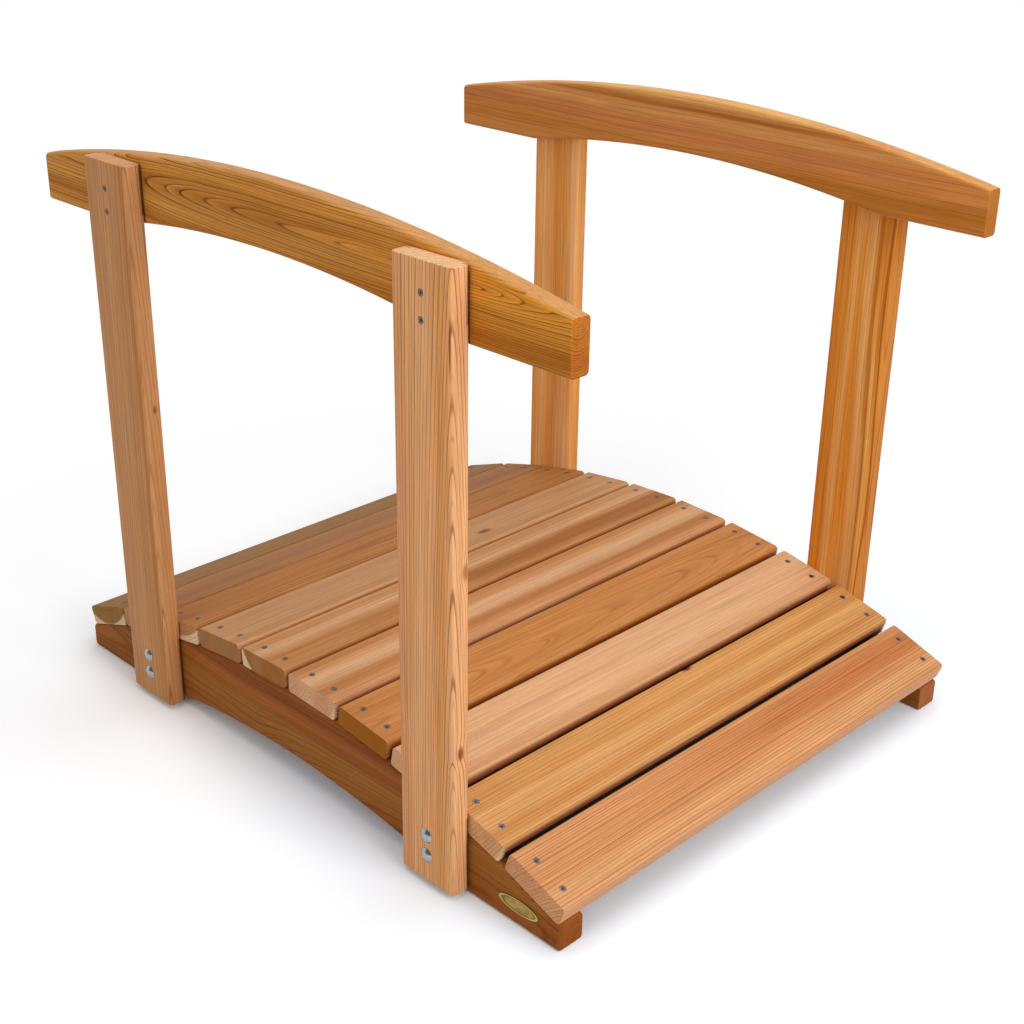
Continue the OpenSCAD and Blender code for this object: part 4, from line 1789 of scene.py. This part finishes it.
@dataclass
class OvalPlate:
    """The plain stamped plate on the left stringer, near the front end."""

    length: float = 62.0
    height: float = 18.5
    thick: float = 1.2
    rim: float = 1.6
    field_drop: float = 0.4
    pin_out: float = 27.6
    pin_d: float = 2.6
    pin_h: float = 0.8
    pin_sink: float = 0.3
    pin_steps: int = 6
    pin_segments: int = 24
    centre: Point3 = (403.0, -375.0, 27.0)
    segments: int = 128
    finish: BrassFinish = field(default_factory=BrassFinish)

    # Stamped section, as inset and rise: the outer edge from the edge and top, the rim's inner edge from
    # the rim and top, the rim's foot from the rim and field, and the crowned field from the edge and field
    OUTER_EDGE = ((0.0, -0.35), (0.1, -0.12), (0.35, 0.0))
    INNER_EDGE = ((-0.35, 0.0), (-0.1, -0.1))
    RIM_FOOT = ((0.15, 0.05), (0.4, 0.0))
    CROWN = ((3.6, 0.02), (6.4, 0.05))

    def build(self) -> None:
        """Build and dress the plate."""
        top = self.thick
        floor = self.thick - self.field_drop
        rings = [(0.0, 0.0)]
        for points, start, level in ((self.OUTER_EDGE, 0.0, top), (self.INNER_EDGE, self.rim, top),
                                     (self.RIM_FOOT, self.rim, floor), (self.CROWN, 0.0, floor)):
            rings += [(start + inset, level + rise) for inset, rise in points]
        sections = []
        for inset, rise in rings:
            turns = [2 * math.pi * k / self.segments for k in range(self.segments)]
            sections.append([((self.length / 2 - inset) * math.cos(a),
                              (self.height / 2 - inset) * math.sin(a), rise) for a in turns])
        sheet = Shape.loft("sheet", sections)
        piece = Shape.join("oval_plate_brass", (sheet, self._pins(floor)))
        piece.matrix_world = board_place(self.centre, (1, 0, 0), (0, 0, 1))
        place_piece(piece, self.finish.material(), Slot.BRASS, "oval_plate")

    def _pins(self, floor: float) -> bpy.types.Object:
        """Make the two round pin heads that hold the plate.

        Args:
            floor: Height of the plate's field.

        Returns:
            Both heads, in the plate's own frame.
        """
        turns = [math.pi / 2 * k / self.pin_steps for k in range(self.pin_steps)]
        profile = [(0.0, -self.pin_sink), (self.pin_d / 2, -self.pin_sink)]
        profile += [(self.pin_d / 2 * math.cos(a), self.pin_h * math.sin(a)) for a in turns]
        profile.append((0.0, self.pin_h))
        places = [Matrix.Translation(Vector((s * self.pin_out, 0.0, floor)) * MM) for s in (-1, 1)]
        return Shape.copies("pins", Shape.lathe("pin", profile, self.pin_segments), places)


@dataclass
class Viewpoint:
    """The camera at the photograph's viewing angle."""

    azimuth: float = 44.879
    elevation: float = 24.920
    roll: float = 0.809
    distance: float = 2126.1
    aim: Point3 = (32.94, -22.617, 268.479)
    lens: float = 56.372

    def build(self) -> None:
        """Make the scene's camera."""
        turn = math.radians(self.azimuth)
        lift = math.radians(self.elevation)
        back = Vector((math.sin(turn) * math.cos(lift), -math.cos(turn) * math.cos(lift), math.sin(lift)))
        right = Vector((math.cos(turn), math.sin(turn), 0.0))
        right.rotate(Matrix.Rotation(math.radians(self.roll), 3, back))
        basis = Matrix((right, back.cross(right), back)).transposed()
        data = bpy.data.cameras.new("viewpoint")
        data.lens = self.lens
        camera = bpy.data.objects.new("viewpoint", data)
        bpy.context.scene.collection.objects.link(camera)
        spot = Vector(self.aim) + back * self.distance
        camera.matrix_world = Matrix.Translation(spot * MM) @ basis.to_4x4()
        bpy.context.scene.camera = camera


@dataclass(frozen=True)
class Lamp:
    """A soft round lamp, with its place and size in metres and its power in watts."""

    name: str
    spot: Point3
    size: float
    power: float
    mirrored: bool = True


@dataclass
class Studio:
    """A white floor and soft lamps in a white room with one dark side."""

    floor_half: float = 8.0
    floor_cells: int = 8
    floor_colour: str = "#dedede"
    ambient: float = 0.5
    shown_gain: str = "#686c72"
    # Gain near the bridge, lower in red and green: it paints the floor's shade there darker and cooler
    near_shade_gain: str = "#365e76"
    near_at: Point3 = (0.25, 0.05, 0.0)
    near_from: float = 0.46
    near_to: float = 0.66
    lift: float = 0.03
    clear_from: float = 0.62
    clear_to: float = 1.15
    dark_side: Point3 = (0.20, -0.845, 0.497)
    dark_from: float = 0.5
    dark_to: float = 0.85
    dark: float = 0.2
    lamps: tuple[Lamp, ...] = (
        Lamp("overhead", (0.2, 0.2, 2.6), 2.4, 22.0),
        Lamp("front_right", (2.6, -0.3, 1.7), 1.8, 33.0),
        Lamp("front_left", (0.4, -2.8, 1.3), 1.8, 8.0, False),
    )
    aim: Point3 = (0.0, 0.0, 0.3)

    def build(self) -> None:
        """Build the floor, the room and the lamps."""
        self._floor()
        self._room()
        for lamp in self.lamps:
            data = bpy.data.lights.new(lamp.name, "AREA")
            data.shape = "DISK"
            data.size = lamp.size
            data.energy = lamp.power
            piece = bpy.data.objects.new(lamp.name, data)
            piece.location = lamp.spot
            piece.rotation_euler = (Vector(self.aim) - Vector(lamp.spot)).to_track_quat("-Z", "Y").to_euler()
            piece.visible_glossy = lamp.mirrored
            bpy.context.scene.collection.objects.link(piece)
        bpy.context.scene.view_settings.view_transform = "Standard"

    def _floor(self) -> None:
        """Lay the floor: it shows the object's shadow, painted darker and cooler near it, and is white
        further out.
        """
        mesh = bmesh.new()
        bmesh.ops.create_grid(mesh, x_segments=self.floor_cells, y_segments=self.floor_cells,
                              size=self.floor_half)
        floor = Shape.publish("floor", mesh)
        material, tree = new_tree("matt_paper_floor")
        coords = add(tree, "TexCoord").outputs["Object"]
        far = add(tree, "VectorMath", {0: coords}, operation="LENGTH").outputs["Value"]
        clear = add(tree, "MapRange", {"Value": far, "From Min": self.clear_from, "From Max": self.clear_to},
                    interpolation_type="SMOOTHSTEP").outputs[0]
        matt = add(tree, "BsdfDiffuse", {"Color": linear(self.floor_colour)}).outputs[0]
        paper = add(tree, "BsdfDiffuse", {"Color": linear(WHITE)}).outputs[0]
        glow = add(tree, "Emission", {"Color": linear(WHITE), "Strength": self.lift}).outputs[0]
        # Near the bridge the floor takes the lower, cooler gain: painted shade, darker and cooler than the
        # lamps give
        off = add(tree, "VectorMath", {0: coords, 1: self.near_at}, operation="DISTANCE").outputs["Value"]
        away = add(tree, "MapRange", {"Value": off, "From Min": self.near_from, "From Max": self.near_to},
                   interpolation_type="SMOOTHSTEP").outputs[0]
        gain = add(tree, "Mix", {0: away, 6: linear(self.near_shade_gain), 7: linear(self.shown_gain)},
                   data_type="RGBA").outputs[2]
        bright = add(tree, "BsdfDiffuse", {"Color": gain}).outputs[0]
        near = add(tree, "AddShader", {0: paper, 1: bright}).outputs[0]
        near = add(tree, "AddShader", {0: near, 1: glow}).outputs[0]
        white = add(tree, "Emission", {"Color": linear(WHITE), "Strength": 1.0}).outputs[0]
        shown = add(tree, "MixShader", {0: clear, 1: near, 2: white}).outputs[0]
        seen = self._seen(tree)
        both = add(tree, "MixShader", {0: seen, 1: matt, 2: shown}).outputs[0]
        add(tree, "OutputMaterial", {"Surface": both})
        floor.data.materials.append(material)

    def _room(self) -> None:
        """Light the room evenly and show it white; in shiny metal, the side behind the camera is dark."""
        world = bpy.data.worlds.new("white_room")
        world.use_nodes = True
        tree = world.node_tree
        tree.nodes.clear()
        way = add(tree, "TexCoord").outputs["Generated"]
        near = add(tree, "VectorMath", {0: way, 1: self.dark_side}, operation="DOT_PRODUCT").outputs["Value"]
        shade = add(tree, "MapRange", {"Value": near, "From Min": self.dark_from, "From Max": self.dark_to,
                                       "To Min": 1.0, "To Max": self.dark},
                    interpolation_type="SMOOTHSTEP").outputs[0]
        mirror = add(tree, "LightPath").outputs["Is Glossy Ray"]
        level = add(tree, "Mix", {0: mirror, 2: 1.0, 3: shade}).outputs[0]
        soft = add(tree, "Background", {"Color": linear(WHITE), "Strength": self.ambient}).outputs[0]
        white = add(tree, "Background", {"Color": linear(WHITE), "Strength": level}).outputs[0]
        both = add(tree, "MixShader", {0: self._seen(tree), 1: soft, 2: white}).outputs[0]
        add(tree, "OutputWorld", {"Surface": both})
        bpy.context.scene.world = world

    def _seen(self, tree: bpy.types.NodeTree) -> bpy.types.NodeSocket:
        """Tell rays that show the background from rays that carry light.

        Args:
            tree: The node tree that asks.

        Returns:
            1 for camera, glossy and transmission rays, else 0.
        """
        path = add(tree, "LightPath")
        mirror = add(tree, "Math", {0: path.outputs["Is Camera Ray"], 1: path.outputs["Is Glossy Ray"]},
                     operation="MAXIMUM").outputs[0]
        return add(tree, "Math", {0: mirror, 1: path.outputs["Is Transmission Ray"]},
                   operation="MAXIMUM").outputs[0]


def main() -> None:
    """Build the bridge and its studio."""
    logging.basicConfig(level=logging.INFO, format="%(message)s")
    Viewpoint().build()
    Studio().build()
    fasteners = Fasteners()
    Stringers().build(fasteners)
    Deck().build(fasteners)
    Posts().build(fasteners)
    Rails().build(fasteners)
    OvalPlate().build()


if __name__ == "__main__":
    main()
